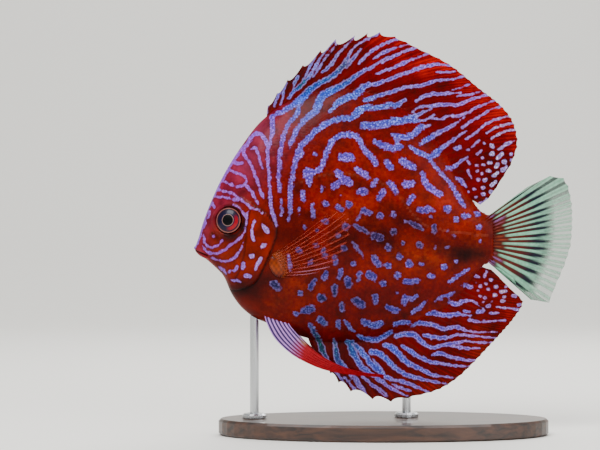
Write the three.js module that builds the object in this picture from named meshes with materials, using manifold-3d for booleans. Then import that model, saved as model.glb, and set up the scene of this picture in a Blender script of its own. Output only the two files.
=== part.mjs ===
// A discus fish, life size, as a museum shows it: a tall disc of a body, thin from side to side,
// with long ribbed fins all round, held over a flat oval base by two short rods.
// Millimetres, +Z up. The fish faces -X, and its left side faces -Y. The origin is under the middle
// of the whole model, on the surface that the base stands on.
// Most sizes are taken in the fish's own frame: x runs back from the tip of the snout, and z up from it.
import * as THREE from "three";
import { mergeVertices } from "three/addons/utils/BufferGeometryUtils.js";
import Module from "manifold-3d";

const wasm = await Module();
wasm.setup();

// Driving sizes
const TOTAL_LENGTH = 160.4;
const BASE_LENGTH = 140;
const BASE_DEPTH = 66;
const BASE_HEIGHT = 7;
const LOWEST_FIN = -65.2;
const FIN_TO_BASE = 7;
const GAP = 0.3;
const SNOUT_HEIGHT = BASE_HEIGHT + FIN_TO_BASE - LOWEST_FIN;
const MERGE = 1e-4;
const SHORTEST_EDGE = 0.03;

// Body outline, as [x, z] from the snout to the root of the tail fin
const BACK = [
  [0, 0.6], [1.4, 4.4], [3.1, 10.2], [6.7, 19.7], [10.9, 28.9], [18.5, 41.6], [28.4, 54.3],
  [40.3, 62.6], [53.1, 66.8], [65.8, 67.6], [78.5, 64.6], [91.2, 57.3], [102.7, 45.4],
  [111.6, 31.4], [117.6, 20.6], [121.4, 15.6], [127, 13],
];
const BELLY = [
  [0, -1.2], [2.5, -3], [4.9, -5], [8.4, -8.1], [11.9, -11.8], [15.5, -19.6], [19.7, -25.3],
  [25.5, -29.8], [30.3, -31.8], [38.2, -35.2], [45.8, -37.8], [55.2, -39.9], [65.8, -40.3],
  [78.5, -38.2], [91.2, -34], [104, -26.7], [113.3, -18.2], [118.8, -11.5], [122.7, -7.2], [127, -5.2],
];
// Half of the body's thickness along its thickest line, as [x, half], and the height of that line
const HALF_WIDTH = [
  [0, 1.2], [1.5, 3], [4, 4.5], [8, 6.4], [14.6, 8.8], [22, 10.8], [32, 12.2], [42, 12.6],
  [55, 12.3], [70, 11.3], [85, 9.4], [100, 6.9], [112, 4.7], [120, 3.5], [125, 2.6], [127, 1.7],
];
const MIDDLE = [[0, -0.4], [14.6, 5], [35, 4], [65, 7], [100, 7], [127, 4]];
// How sharply the flanks close to the edge above and below that line: 0.5 is a round end
const CLOSING_ABOVE = [[0, 0.5], [15, 0.58], [40, 0.7], [100, 0.7], [127, 0.55]];
const CLOSING_BELOW = [[0, 0.5], [30, 0.55], [50, 0.66], [100, 0.7], [127, 0.55]];
const HEAD_STATIONS = 17;
const TRUNK_STATIONS = 19;
const AROUND = 36;

// A smooth line through knots [x, value] that never swings past them
function smoothLine(knots) {
  const last = knots.length - 1;
  const step = knots.slice(1).map(([x, v], i) => (v - knots[i][1]) / (x - knots[i][0]));
  const lean = knots.map((_, i) => {
    if (i === 0) return step[0];
    if (i === last) return step[last - 1];
    return step[i - 1] * step[i] > 0 ? (2 * step[i - 1] * step[i]) / (step[i - 1] + step[i]) : 0;
  });
  return (x) => {
    let i = 0;
    while (i < last - 1 && x > knots[i + 1][0]) i += 1;
    const wide = knots[i + 1][0] - knots[i][0];
    const t = THREE.MathUtils.clamp((x - knots[i][0]) / wide, 0, 1);
    const a = knots[i][1];
    const b = knots[i + 1][1];
    const ease = t * t * (3 - 2 * t);
    return a + (b - a) * ease + wide * t * (1 - t) * (lean[i] * (1 - t) - lean[i + 1] * t);
  };
}

const mix = THREE.MathUtils.lerp;
const back = smoothLine(BACK);
const belly = smoothLine(BELLY);
const halfWidth = smoothLine(HALF_WIDTH);
const middle = smoothLine(MIDDLE);
const closingAbove = smoothLine(CLOSING_ABOVE);
const closingBelow = smoothLine(CLOSING_BELOW);
const BODY_END = 127;

// Half of the body's thickness at any x, z inside its outline
function flank(x, z) {
  const up = z > middle(x);
  const reach = up ? back(x) - middle(x) : middle(x) - belly(x);
  const share = Math.min(Math.abs(z - middle(x)) / reach, 1);
  return halfWidth(x) * (1 - share * share) ** (up ? closingAbove(x) : closingBelow(x));
}

// A geometry from points and corners, with its faces turned outwards
function closedGeometry(points, corners) {
  let volume = 0;
  for (let i = 0; i < corners.length; i += 3) {
    const [a, b, c] = [points[corners[i]], points[corners[i + 1]], points[corners[i + 2]]];
    volume += a.dot(b.clone().cross(c));
  }
  const turned = volume < 0 ? corners.slice().reverse() : corners;
  return new THREE.BufferGeometry().setFromPoints(points).setIndex(turned);
}

// The geometry with only its places kept, and corners in one place made one
function merged(geometry) {
  const bare = new THREE.BufferGeometry();
  bare.setAttribute("position", geometry.getAttribute("position").clone());
  bare.setIndex(geometry.index);
  return withTriangles(mergeVertices(bare, MERGE), (corner) => corner);
}

// A mesh with its corners renamed, and the triangles that this leaves with no area dropped
function withTriangles(mesh, renamed) {
  const kept = [];
  for (let i = 0; i < mesh.index.count; i += 3) {
    const corner = [0, 1, 2].map((k) => renamed(mesh.index.getX(i + k)));
    if (new Set(corner).size === 3) kept.push(...corner);
  }
  return mesh.setIndex(kept);
}

// Edges too short to matter, left where two pieces cross, closed up so that their ends are one corner
function withoutShortEdges(mesh) {
  const places = mesh.attributes.position;
  const at = (i) => new THREE.Vector3().fromBufferAttribute(places, i);
  const joined = Array.from({ length: places.count }, (_, i) => i);
  const root = (i) => (joined[i] === i ? i : root(joined[i]));
  for (let i = 0; i < mesh.index.count; i += 3) {
    for (let k = 0; k < 3; k += 1) {
      const a = root(mesh.index.getX(i + k));
      const b = root(mesh.index.getX(i + ((k + 1) % 3)));
      if (a !== b && at(a).distanceTo(at(b)) < SHORTEST_EDGE) joined[b] = a;
    }
  }
  return withTriangles(mesh, root);
}

function solidOf(geometry) {
  const mesh = merged(geometry);
  return new wasm.Manifold(
    new wasm.Mesh({
      numProp: 3,
      vertProperties: mesh.attributes.position.array,
      triVerts: new Uint32Array(mesh.index.array),
    }),
  );
}

// The largest closed surface of a solid, as a geometry
function geometryOf(solid) {
  const [largest] = solid.decompose().sort((a, b) => b.volume() - a.volume());
  const mesh = largest.getMesh();
  const geometry = new THREE.BufferGeometry();
  geometry.setAttribute("position", new THREE.BufferAttribute(new Float32Array(mesh.vertProperties), 3));
  geometry.setIndex(new THREE.BufferAttribute(new Uint32Array(mesh.triVerts), 1));
  return withoutShortEdges(merged(geometry));
}

// A closed geometry moved outwards along its own normals
function grown(geometry, by) {
  const mesh = merged(geometry);
  mesh.computeVertexNormals();
  const places = mesh.attributes.position;
  const normals = mesh.attributes.normal;
  for (let i = 0; i < places.count; i += 1) {
    places.setXYZ(
      i,
      places.getX(i) + by * normals.getX(i),
      places.getY(i) + by * normals.getY(i),
      places.getZ(i) + by * normals.getZ(i),
    );
  }
  return mesh;
}

// Rings of points joined into a closed skin, with a flat end on the first ring and the last
function ringSkin(rings) {
  const around = rings[0].length;
  const points = rings.flat();
  const corners = [];
  for (let i = 0; i + 1 < rings.length; i += 1) {
    for (let j = 0; j < around; j += 1) {
      const a = i * around + j;
      const b = i * around + ((j + 1) % around);
      corners.push(a, b, b + around, a, b + around, a + around);
    }
  }
  for (const [ring, first] of [[rings[0], 0], [rings.at(-1), points.length - around]]) {
    const centre = points.length;
    points.push(ring.reduce((sum, p) => sum.add(p), new THREE.Vector3()).divideScalar(around));
    for (let j = 0; j < around; j += 1) {
      const pair = [first + j, first + ((j + 1) % around)];
      corners.push(centre, ...(first ? pair : pair.reverse()));
    }
  }
  return closedGeometry(points, corners);
}

// Two faces over one grid of columns and rows, joined round the border; both faces are split alike
function sheetSkin(columns, rows, nearFace, farFace) {
  const points = [];
  for (const face of [nearFace, farFace]) {
    for (let i = 0; i <= columns; i += 1) {
      for (let j = 0; j <= rows; j += 1) points.push(face(i, j));
    }
  }
  const at = (i, j, far = 0) => far * (columns + 1) * (rows + 1) + i * (rows + 1) + j;
  const corners = [];
  const edge = (i0, j0, i1, j1) => {
    const [a, b, c, d] = [at(i0, j0), at(i1, j1), at(i1, j1, 1), at(i0, j0, 1)];
    corners.push(b, a, d, b, d, c);
  };
  for (let i = 0; i < columns; i += 1) {
    for (let j = 0; j < rows; j += 1) {
      corners.push(at(i, j), at(i + 1, j), at(i + 1, j + 1), at(i, j), at(i + 1, j + 1), at(i, j + 1));
      corners.push(at(i, j, 1), at(i + 1, j + 1, 1), at(i + 1, j, 1));
      corners.push(at(i, j, 1), at(i, j + 1, 1), at(i + 1, j + 1, 1));
    }
    edge(i, 0, i + 1, 0);
    edge(i + 1, rows, i, rows);
  }
  for (let j = 0; j < rows; j += 1) {
    edge(0, j + 1, 0, j);
    edge(columns, j, columns, j + 1);
  }
  return closedGeometry(points, corners);
}

// A round rod along points, with its own radius at each
function taperedRod(points, radiusAt, sides) {
  const course = new THREE.CatmullRomCurve3(points);
  const steps = points.length - 1;
  const frames = course.computeFrenetFrames(steps, false);
  const rings = [];
  for (let i = 0; i <= steps; i += 1) {
    const ring = [];
    for (let j = 0; j < sides; j += 1) {
      const turn = (2 * Math.PI * j) / sides;
      const radius = radiusAt(i / steps);
      const place = course.getPointAt(i / steps).clone();
      place.addScaledVector(frames.normals[i], radius * Math.cos(turn));
      place.addScaledVector(frames.binormals[i], radius * Math.sin(turn));
      ring.push(place);
    }
    rings.push(ring);
  }
  return ringSkin(rings);
}

// The same piece for the fish's other side
function mirrored(geometry) {
  const turned = merged(geometry).scale(1, -1, 1);
  return turned.setIndex([...turned.index.array].reverse());
}

// The whole body, from the snout to the root of the tail fin
const HEAD_BACK = 35;
function bodySkin() {
  const stations = [];
  for (let i = 0; i < HEAD_STATIONS; i += 1) stations.push(HEAD_BACK * (i / HEAD_STATIONS) ** 1.35);
  for (let i = 0; i <= TRUNK_STATIONS; i += 1) stations.push(mix(HEAD_BACK, BODY_END, i / TRUNK_STATIONS));
  const rings = stations.map((x) => {
    const ring = [];
    for (let j = 0; j < AROUND; j += 1) {
      const turn = (2 * Math.PI * j) / AROUND;
      const up = Math.cos(turn) > 0;
      const reach = up ? back(x) - middle(x) : middle(x) - belly(x);
      const closing = up ? closingAbove(x) : closingBelow(x);
      const out = halfWidth(x) * Math.abs(Math.sin(turn)) ** (2 * closing);
      ring.push(new THREE.Vector3(x, Math.sign(Math.sin(turn)) * out, middle(x) + reach * Math.cos(turn)));
    }
    return ring;
  });
  return ringSkin(rings);
}

const bodyGeometry = bodySkin();
const body = solidOf(bodyGeometry);
const bodyGrown = solidOf(grown(bodyGeometry, GAP));

// A wall across the whole thickness, over an outline in x and z
const WALL_HALF = 30;
function wall(outline) {
  const shape = new THREE.Shape(outline);
  const geometry = new THREE.ExtrudeGeometry(shape, { depth: 2 * WALL_HALF, bevelEnabled: false });
  return solidOf(geometry.translate(0, 0, -WALL_HALF).rotateX(Math.PI / 2));
}

// A line of points moved sideways by a distance, to the left of the way it runs
function offsetLine(points, by) {
  return points.map((p, i) => {
    const along = points[Math.min(i + 1, points.length - 1)].clone().sub(points[Math.max(i - 1, 0)]).normalize();
    return new THREE.Vector2(p.x - by * along.y, p.y + by * along.x);
  });
}

const spline = (knots) => new THREE.SplineCurve(knots.map(([x, z]) => new THREE.Vector2(x, z)));

// Where the head ends: from the nape down behind the gill cover, then forward under the throat
const HEAD_END = [
  [26, 62], [26.6, 52], [27.6, 38], [29.4, 24], [32.6, 13], [34, 7.6], [33, 2.6], [30.2, -3],
  [27.2, -10.4], [24.4, -15.4], [19.6, -18.6], [13, -19.2], [2, -18.8],
];
const CUT_STEPS = 30;
const FAR_AHEAD = -20;
const headLine = spline(HEAD_END).getPoints(CUT_STEPS);
function headRegion(by) {
  const line = offsetLine(headLine, by);
  const low = line.at(-1).y;
  return wall([...line, new THREE.Vector2(FAR_AHEAD, low), new THREE.Vector2(FAR_AHEAD, line[0].y)]);
}

// Where the trunk ends and the stalk of the tail starts
const STALK_START = 117.4;
const STALK_TOP = 40;
const STALK_LOW = -30;
function stalkRegion(by) {
  const x = STALK_START - by;
  const corners = [[x, STALK_LOW], [BODY_END + 10, STALK_LOW], [BODY_END + 10, STALK_TOP], [x, STALK_TOP]];
  return wall(corners.map(([u, v]) => new THREE.Vector2(u, v)));
}

// Eyes: a short barrel with a domed front, set in a socket and turned a little forward
const EYE = new THREE.Vector2(14.6, 11.7);
const EYE_RADIUS = 5.6;
const EYE_DEPTH = 4.2;
const EYE_DOME = 1.9;
const EYE_SEAT = -0.6;
const EYE_AIM = new THREE.Vector3(-0.24, -1, 0.1).normalize();
const RIM_TUBE = 0.85;
const EYE_SIDES = 22;
const DOME_STEPS = 5;

// Turns a piece made round +Y so that its front looks along the left eye's aim from the head's surface
function atLeftEye(geometry) {
  const turn = new THREE.Quaternion().setFromUnitVectors(new THREE.Vector3(0, 1, 0), EYE_AIM);
  return geometry.applyQuaternion(turn).translate(EYE.x, -flank(EYE.x, EYE.y), EYE.y);
}

function eyeball() {
  const profile = [new THREE.Vector2(0, -EYE_DEPTH), new THREE.Vector2(EYE_RADIUS * 0.9, -EYE_DEPTH)];
  for (let i = 0; i <= DOME_STEPS; i += 1) {
    const rise = (Math.PI / 2) * (i / DOME_STEPS);
    const out = i === DOME_STEPS ? 0 : EYE_RADIUS * Math.cos(rise);
    profile.push(new THREE.Vector2(out, EYE_SEAT + (EYE_DOME - EYE_SEAT) * Math.sin(rise)));
  }
  return atLeftEye(new THREE.LatheGeometry(profile, EYE_SIDES));
}

function eyeSocket() {
  const deep = EYE_DEPTH + GAP;
  const hole = new THREE.CylinderGeometry(EYE_RADIUS + GAP, EYE_RADIUS + GAP, 2 * deep, EYE_SIDES);
  return atLeftEye(hole);
}

function eyeRim() {
  const ring = new THREE.TorusGeometry(EYE_RADIUS + GAP + RIM_TUBE * 0.55, RIM_TUBE, 6, EYE_SIDES);
  return atLeftEye(ring.rotateX(Math.PI / 2));
}

// Mouth: two lips round the front of the snout, with the slit between them
const MOUTH_BACK = 4.8;
const MOUTH_STEPS = 6;
const mouthHeight = (x) => -0.9 - 0.42 * x;
const LIP_RADIUS = 1.05;
const LIP_SPREAD = 0.95;
const SLIT_HALF = 0.22;
const SLIT_DEEP = 1.2;
const SNOUT_ROUND = 0.25;

// Points round the snout at the mouth, from the left corner to the right, moved up and outwards
function roundSnout(up, out) {
  const points = [];
  for (let i = -MOUTH_STEPS; i <= MOUTH_STEPS; i += 1) {
    const share = Math.abs(i) / MOUTH_STEPS;
    const x = SNOUT_ROUND + (MOUTH_BACK - SNOUT_ROUND) * share * share;
    const z = mouthHeight(x) + up * (1 - 0.35 * share);
    const side = flank(x, mouthHeight(x)) * Math.sin((Math.PI / 2) * Math.min(share * 1.6, 1));
    const away = new THREE.Vector3(-1.2 * (1 - share) - 0.35, Math.sign(i) * (share + 0.02), 0).normalize();
    points.push(new THREE.Vector3(x, Math.sign(i) * side, z).addScaledVector(away, out));
  }
  return points;
}

const lipRadius = (t) => LIP_RADIUS * (1 - 0.4 * Math.abs(2 * t - 1) ** 2);
const upperLip = () => taperedRod(roundSnout(LIP_SPREAD, -0.35), lipRadius, 8);
const lowerLip = () => taperedRod(roundSnout(-LIP_SPREAD, -0.75), lipRadius, 8);

function mouthSlit() {
  const outside = roundSnout(0, 2);
  const inside = roundSnout(0, -SLIT_DEEP);
  const face = (up) => (i, j) => (j ? outside : inside)[i].clone().add(new THREE.Vector3(0, 0, up));
  return sheetSkin(2 * MOUTH_STEPS, 1, face(-SLIT_HALF), face(SLIT_HALF));
}

// Nostrils: one small pit on each side between the mouth and the eye
const NOSTRIL = new THREE.Vector2(7.4, 6.2);
const NOSTRIL_RADIUS = 0.75;
function nostril() {
  const pit = new THREE.SphereGeometry(NOSTRIL_RADIUS, 8, 6);
  return pit.translate(NOSTRIL.x, -flank(NOSTRIL.x, NOSTRIL.y) - 0.1, NOSTRIL.y);
}

function headGeometry() {
  let head = body.intersect(headRegion(0));
  for (const piece of [upperLip(), lowerLip(), eyeRim(), mirrored(eyeRim())]) head = head.add(solidOf(piece));
  const away = [mouthSlit(), eyeSocket(), mirrored(eyeSocket()), nostril(), mirrored(nostril())];
  for (const piece of away) head = head.subtract(solidOf(piece));
  return geometryOf(head);
}

// Gill covers: a thin plate over each cheek's back half, flush in front and standing proud behind
const COVER_FRONT = [[23.9, 17.2], [22.9, 11], [21.9, 3], [20.6, -4], [18.8, -10], [16.9, -14.6]];
const COVER_BACK = [[25.2, 18.4], [31.4, 13.6], [35, 7.6], [33.4, 1.4], [29.2, -8.4], [25.4, -15], [18.2, -17.7]];
const COVER_ACROSS = 7;
const COVER_DOWN = 11;
const COVER_THIN = 0.5;
const COVER_PROUD = 0.9;
function gillCover() {
  const front = spline(COVER_FRONT);
  const rear = spline(COVER_BACK);
  const place = (i, j, stand) => {
    const at = front.getPointAt(1 - j / COVER_DOWN).lerp(rear.getPointAt(1 - j / COVER_DOWN), i / COVER_ACROSS);
    return new THREE.Vector3(at.x, -(flank(at.x, at.y) + stand), at.y);
  };
  const proud = (i, j) => {
    const across = i / COVER_ACROSS;
    const down = Math.sin(Math.PI * (j / COVER_DOWN)) ** 0.4;
    return COVER_PROUD * down * Math.min(across * 1.3, 1) * (1 - 0.45 * across ** 8);
  };
  return sheetSkin(
    COVER_ACROSS,
    COVER_DOWN,
    (i, j) => place(i, j, GAP + COVER_THIN + proud(i, j)),
    (i, j) => place(i, j, GAP + 0.05),
  );
}

// Fins: each has a ridge along every ray and a thinner web between
const WEB_HALF = 0.27;
const FIN_SUNK = 3;

// Where a fin grows: shares along the body's edge, moved into the body by the depth that it is sunk
function edgeRoot(edge, from, to, sunk) {
  const knots = [];
  const steps = 24;
  for (let i = 0; i <= steps; i += 1) {
    const x = mix(from, to, i / steps);
    knots.push([x, edge(x)]);
  }
  const course = spline(knots);
  const inwards = edge === back ? -1 : 1;
  return (share) => {
    const along = course.getTangentAt(share);
    const at = course.getPointAt(share);
    return new THREE.Vector2(at.x - inwards * along.y * sunk, at.y + inwards * along.x * sunk);
  };
}

function tipLine(knots) {
  const x = smoothLine(knots.map(([share, u]) => [share, u]));
  const z = smoothLine(knots.map(([share, , v]) => [share, v]));
  return (share) => new THREE.Vector2(x(share), z(share));
}

// rays: share along the root of each ray. notch: how far the web's edge falls back between two rays.
// bow: how far a ray arches, as a share of its length. side: y of the sheet's middle.
function fin({ rays, root, tip, notch, bow, rows, rayHalf, side }) {
  const columns = [];
  rays.forEach((share, k) => {
    columns.push({ share, ray: true, end: tip(share) });
    if (k + 1 < rays.length) {
      const between = (share + rays[k + 1]) / 2;
      const end = tip(share).lerp(tip(rays[k + 1]), 0.5);
      columns.push({ share: between, ray: false, end: end.lerp(root(between), notch(between)) });
    }
  });
  const place = (i, j) => {
    const { share, end } = columns[i];
    const t = j / rows;
    const start = root(share);
    const along = end.clone().sub(start);
    const arch = 4 * bow * t * (1 - t);
    return start.addScaledVector(along, t).add(new THREE.Vector2(-along.y, along.x).multiplyScalar(arch));
  };
  const face = (way) => (i, j) => {
    const t = j / rows;
    const at = place(i, j);
    const half = columns[i].ray ? rayHalf(columns[i].share, t) : Math.min(WEB_HALF, rayHalf(columns[i].share, t));
    return new THREE.Vector3(at.x, side(columns[i].share, t) + way * half, at.y);
  };
  return sheetSkin(columns.length - 1, rows, face(-1), face(1));
}

const evenly = (from, to, count) => Array.from({ length: count }, (_, k) => mix(from, to, k / (count - 1)));
const cutToBody = (geometry) => solidOf(geometry).subtract(bodyGrown);

// Back fin: nine spines with notched webs, then soft rays to a rounded lobe
const BACK_FIN_FROM = 28.8;
const BACK_FIN_TO = 116.2;
const BACK_SPINES = [0, 0.022, 0.045, 0.068, 0.095, 0.13, 0.168, 0.205, 0.24];
const BACK_SOFT = evenly(0.268, 1, 28);
const BACK_TIPS = [
  [0, 31, 60.3], [0.045, 39.3, 71.3], [0.095, 53.5, 84], [0.13, 59.8, 88.7], [0.168, 67.9, 90.2],
  [0.24, 78.5, 91.7], [0.268, 85, 89.8], [0.32, 93.8, 85.3], [0.4, 107.4, 78.6], [0.53, 121, 67.8],
  [0.66, 130, 60.6], [0.75, 135.4, 53], [0.82, 137, 45], [0.88, 134.8, 37], [0.93, 129.6, 28.4],
  [0.97, 125, 21.6], [1, 120.4, 17.9],
];
function backFin() {
  const notch = smoothLine([[0, 0.3], [0.2, 0.2], [0.26, 0.1], [0.3, 0.012], [1, 0.02]]);
  const stout = smoothLine([[0, 0.62], [0.24, 0.75], [0.3, 0.6], [1, 0.5]]);
  return fin({
    rays: [...BACK_SPINES, ...BACK_SOFT],
    root: edgeRoot(back, BACK_FIN_FROM, BACK_FIN_TO, FIN_SUNK),
    tip: tipLine(BACK_TIPS),
    notch,
    bow: 0.05,
    rows: 5,
    rayHalf: (share, t) => stout(share) * (1 - 0.55 * t),
    side: (share, t) => 1.6 * t * t * Math.sin(Math.PI * (share * 1.7 - 0.3)),
  });
}

// Belly fin behind the vent: eight spines and soft rays, like the back fin upside down
const ANAL_FIN_FROM = 46.6;
const ANAL_FIN_TO = 121.6;
const ANAL_SPINES = [0, 0.03, 0.065, 0.1, 0.14, 0.18, 0.22, 0.26];
const ANAL_SOFT = evenly(0.288, 1, 27);
const ANAL_TIPS = [
  [0, 49.7, -42.4], [0.05, 53.9, -48.4], [0.12, 59, -55.2], [0.18, 66, -60.9], [0.22, 75.4, -64.2],
  [0.26, 83.2, LOWEST_FIN], [0.3, 93.2, -62.9], [0.36, 102.7, -60.3], [0.43, 110.8, -55.5],
  [0.5, 118, -48.8], [0.58, 124.4, -42], [0.68, 130.6, -35.4], [0.78, 136, -29], [0.86, 139.3, -23],
  [0.93, 133.8, -17.2], [0.97, 129, -12.2], [1, 125.4, -8.8],
];
function analFin() {
  const notch = smoothLine([[0, 0.25], [0.22, 0.16], [0.28, 0.06], [0.32, 0.012], [1, 0.02]]);
  const stout = smoothLine([[0, 0.62], [0.26, 0.75], [0.32, 0.6], [1, 0.5]]);
  return fin({
    rays: [...ANAL_SPINES, ...ANAL_SOFT],
    root: edgeRoot(belly, ANAL_FIN_FROM, ANAL_FIN_TO, FIN_SUNK),
    tip: tipLine(ANAL_TIPS),
    notch,
    bow: -0.05,
    rows: 5,
    rayHalf: (share, t) => stout(share) * (1 - 0.55 * t),
    side: (share, t) => -1.5 * t * t * Math.sin(Math.PI * (share * 1.4 - 0.2)),
  });
}

// Tail fin: a wide fan on the end of the stalk, its lower half swung a little to the far side
const TAIL_RAYS = evenly(0, 1, 17);
const TAIL_ROOT = [[124.4, 10.6], [125.6, 7.4], [125.9, 4], [125.6, 0.6], [124.4, -2.6]];
const TAIL_TIPS = [
  [0, 141, 25.9], [0.07, 151.5, 30.7], [0.14, 157.2, 29.2], [0.22, 159, 24], [0.32, 160.1, 18.4],
  [0.46, TOTAL_LENGTH, 11], [0.6, 160, 2.4], [0.72, 158, -5.4], [0.82, 155.2, -12.6],
  [0.9, 152.4, -19], [0.96, 149.6, -24.8], [1, 142, -22],
];
const TAIL_SWING = 4.4;
function tailFin() {
  const course = spline(TAIL_ROOT);
  return fin({
    rays: TAIL_RAYS,
    root: (share) => course.getPointAt(share),
    tip: tipLine(TAIL_TIPS),
    notch: () => 0.012,
    bow: 0,
    rows: 6,
    rayHalf: (share, t) => 0.75 * (1 - 0.5 * t),
    side: (share, t) => TAIL_SWING * t * (0.15 + share * share) - 1.2 * t * t * (1 - share),
  });
}

// Breast fins: a fan on a fleshy base just behind each gill cover, trailing back and away from the flank
const BREAST_ROOT = [[32.6, -2.6], [34.6, -5], [36, -8.6], [36.8, -12.2]];
const BREAST_TIPS = [
  [0, 56, 14.6], [0.1, 60.6, 15.6], [0.22, 64.5, 14], [0.36, 65.6, 9.6], [0.5, 64.6, 4.4],
  [0.64, 62.2, -1], [0.78, 58.4, -6.4], [0.9, 52.4, -9.8], [1, 46, -11.2],
];
const BREAST_SPREAD = 0.42;
const BREAST_SUNK = 2;
function breastFin() {
  const course = spline(BREAST_ROOT);
  const root = (share) => course.getPointAt(share);
  const tip = tipLine(BREAST_TIPS);
  const leaf = fin({
    rays: evenly(0, 1, 11),
    root,
    tip,
    notch: () => 0.04,
    bow: -0.03,
    rows: 4,
    rayHalf: (share, t) => 0.62 * (1 - 0.5 * t),
    side: (share, t) => {
      const start = root(share);
      const out = BREAST_SPREAD * t * tip(share).distanceTo(start);
      return -(flank(start.x, start.y) - BREAST_SUNK + out);
    },
  });
  const heel = new THREE.SphereGeometry(1, 14, 10).scale(2.5, 2.2, 5.4).rotateY(-0.42);
  heel.translate(35.6, -flank(35.6, -7.6), -7.6);
  return geometryOf(solidOf(leaf).add(solidOf(heel)).subtract(bodyGrown));
}

// Pelvic fins: long and pointed, swept back under the belly, both edges run out into one thread.
// Each edge starts inside the belly.
const PELVIC_FRONT = [
  [29.4, -27.6], [30.4, -31.4], [33.6, -37.6], [39.6, -43.6], [46.4, -47.8], [55.2, -51.4], [66, -53.4], [79.8, -54.6],
];
const PELVIC_REAR = [
  [38.6, -29], [40.6, -33], [45.4, -38.4], [49.4, -42.2], [55.4, -46.4], [62.4, -49.8], [70.4, -52.2], [80, -53.4],
];
const PELVIC_RAYS = 5;
const PELVIC_ROWS = 12;
const PELVIC_HALF = 0.65;
const PELVIC_SIDE = 3.3;
const PELVIC_SPREAD = 2.6;
function pelvicFin() {
  const front = spline(PELVIC_FRONT);
  const rear = spline(PELVIC_REAR);
  const columns = 2 * PELVIC_RAYS;
  const face = (way) => (i, j) => {
    const t = j / PELVIC_ROWS;
    const at = front.getPoint(t).lerp(rear.getPoint(t), i / columns);
    const half = (i % 2 ? WEB_HALF : PELVIC_HALF) * (1 - 0.5 * t) + 0.1 * t;
    const side = PELVIC_SIDE + PELVIC_SPREAD * Math.sin(Math.PI * Math.min(t, 0.8));
    return new THREE.Vector3(at.x, way * half - side, at.y);
  };
  return sheetSkin(columns, PELVIC_ROWS, face(-1), face(1));
}

// Stand: an oval base and two rods with a round foot each
const ROD_RADIUS = 1.9;
const FOOT_RADIUS = 5.2;
const FOOT_HEIGHT = 1.8;
const ROD_SIDES = 16;
const FRONT_ROD = { x: 25.2, y: 0, reach: -26 };
const REAR_ROD = { x: 90, y: 4.9, reach: -22 };
const BASE_BEVEL = 1;
const BASE_STEPS = 28;
function standBase() {
  const shape = new THREE.Shape();
  shape.absellipse(0, 0, BASE_LENGTH / 2 - BASE_BEVEL, BASE_DEPTH / 2 - BASE_BEVEL, 0, 2 * Math.PI);
  const options = {
    depth: BASE_HEIGHT - 2 * BASE_BEVEL,
    bevelThickness: BASE_BEVEL,
    bevelSize: BASE_BEVEL,
    bevelSegments: 1,
    curveSegments: BASE_STEPS,
  };
  return merged(new THREE.ExtrudeGeometry(shape, options).translate(0, 0, BASE_BEVEL));
}

function standRod({ x, y, reach }) {
  const foot = BASE_HEIGHT + GAP - SNOUT_HEIGHT;
  const profile = [
    [0, foot], [FOOT_RADIUS, foot], [FOOT_RADIUS, foot + FOOT_HEIGHT * 0.6],
    [FOOT_RADIUS - 0.8, foot + FOOT_HEIGHT], [ROD_RADIUS, foot + FOOT_HEIGHT + 0.4], [ROD_RADIUS, reach], [0, reach],
  ].map(([r, h]) => new THREE.Vector2(r, h));
  const rod = new THREE.LatheGeometry(profile, ROD_SIDES).rotateX(Math.PI / 2).translate(x, y, 0);
  return geometryOf(solidOf(rod).subtract(bodyGrown));
}

// Materials
function finish(name, colour, roughness, metalness = 0) {
  return new THREE.MeshStandardMaterial({ name, color: colour, roughness, metalness });
}
const RED_SKIN = 0xa01a0c;
const ORANGE_SKIN = 0xb23a12;
const LILAC_SKIN = 0x9a4a62;
const CLEAR_TAIL = 0x7fa58c;
const EYE_DARK = 0x14080c;
const STEEL = 0xb9bcc0;
const DARK_WOOD = 0x2e1c14;

const discus = new THREE.Group();
const fish = new THREE.Group();
discus.add(fish);

function addTo(group, name, geometry, material) {
  const mesh = new THREE.Mesh(geometry, material);
  mesh.name = name;
  group.add(mesh);
}

const trunk = body.subtract(headRegion(GAP)).subtract(stalkRegion(GAP));
addTo(fish, "head", headGeometry(), finish("head skin", LILAC_SKIN, 0.4));
addTo(fish, "torso", geometryOf(trunk), finish("flank skin", ORANGE_SKIN, 0.4));
addTo(fish, "tail_stalk", geometryOf(body.intersect(stalkRegion(0))), finish("stalk skin", ORANGE_SKIN, 0.4));
addTo(fish, "dorsal_fin", geometryOf(cutToBody(backFin())), finish("back fin", RED_SKIN, 0.35));
addTo(fish, "anal_fin", geometryOf(cutToBody(analFin())), finish("anal fin", RED_SKIN, 0.35));
addTo(fish, "caudal_fin", geometryOf(cutToBody(tailFin())), finish("tail fin", CLEAR_TAIL, 0.3));

const pairs = [
  ["gill_cover", gillCover(), finish("gill cover", ORANGE_SKIN, 0.4)],
  ["eye", merged(eyeball()), finish("eye", EYE_DARK, 0.05)],
  ["pectoral_fin", breastFin(), finish("breast fin", ORANGE_SKIN, 0.3)],
  ["pelvic_fin", geometryOf(cutToBody(pelvicFin())), finish("pelvic fin", RED_SKIN, 0.35)],
];
for (const [name, geometry, material] of pairs) {
  addTo(fish, `${name}_left`, geometry, material);
  addTo(fish, `${name}_right`, mirrored(geometry), material.clone());
}

addTo(discus, "stand_base", standBase(), finish("dark wood", DARK_WOOD, 0.5));
addTo(fish, "stand_rod_front", standRod(FRONT_ROD), finish("steel", STEEL, 0.3, 1));
addTo(fish, "stand_rod_rear", standRod(REAR_ROD), finish("steel", STEEL, 0.3, 1));

// The fish's middle, snout to tail, stands over the middle of the base
const reach = new THREE.Box3().setFromObject(fish);
fish.position.set(-(reach.min.x + reach.max.x) / 2, 0, SNOUT_HEIGHT);

export default discus;
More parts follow.
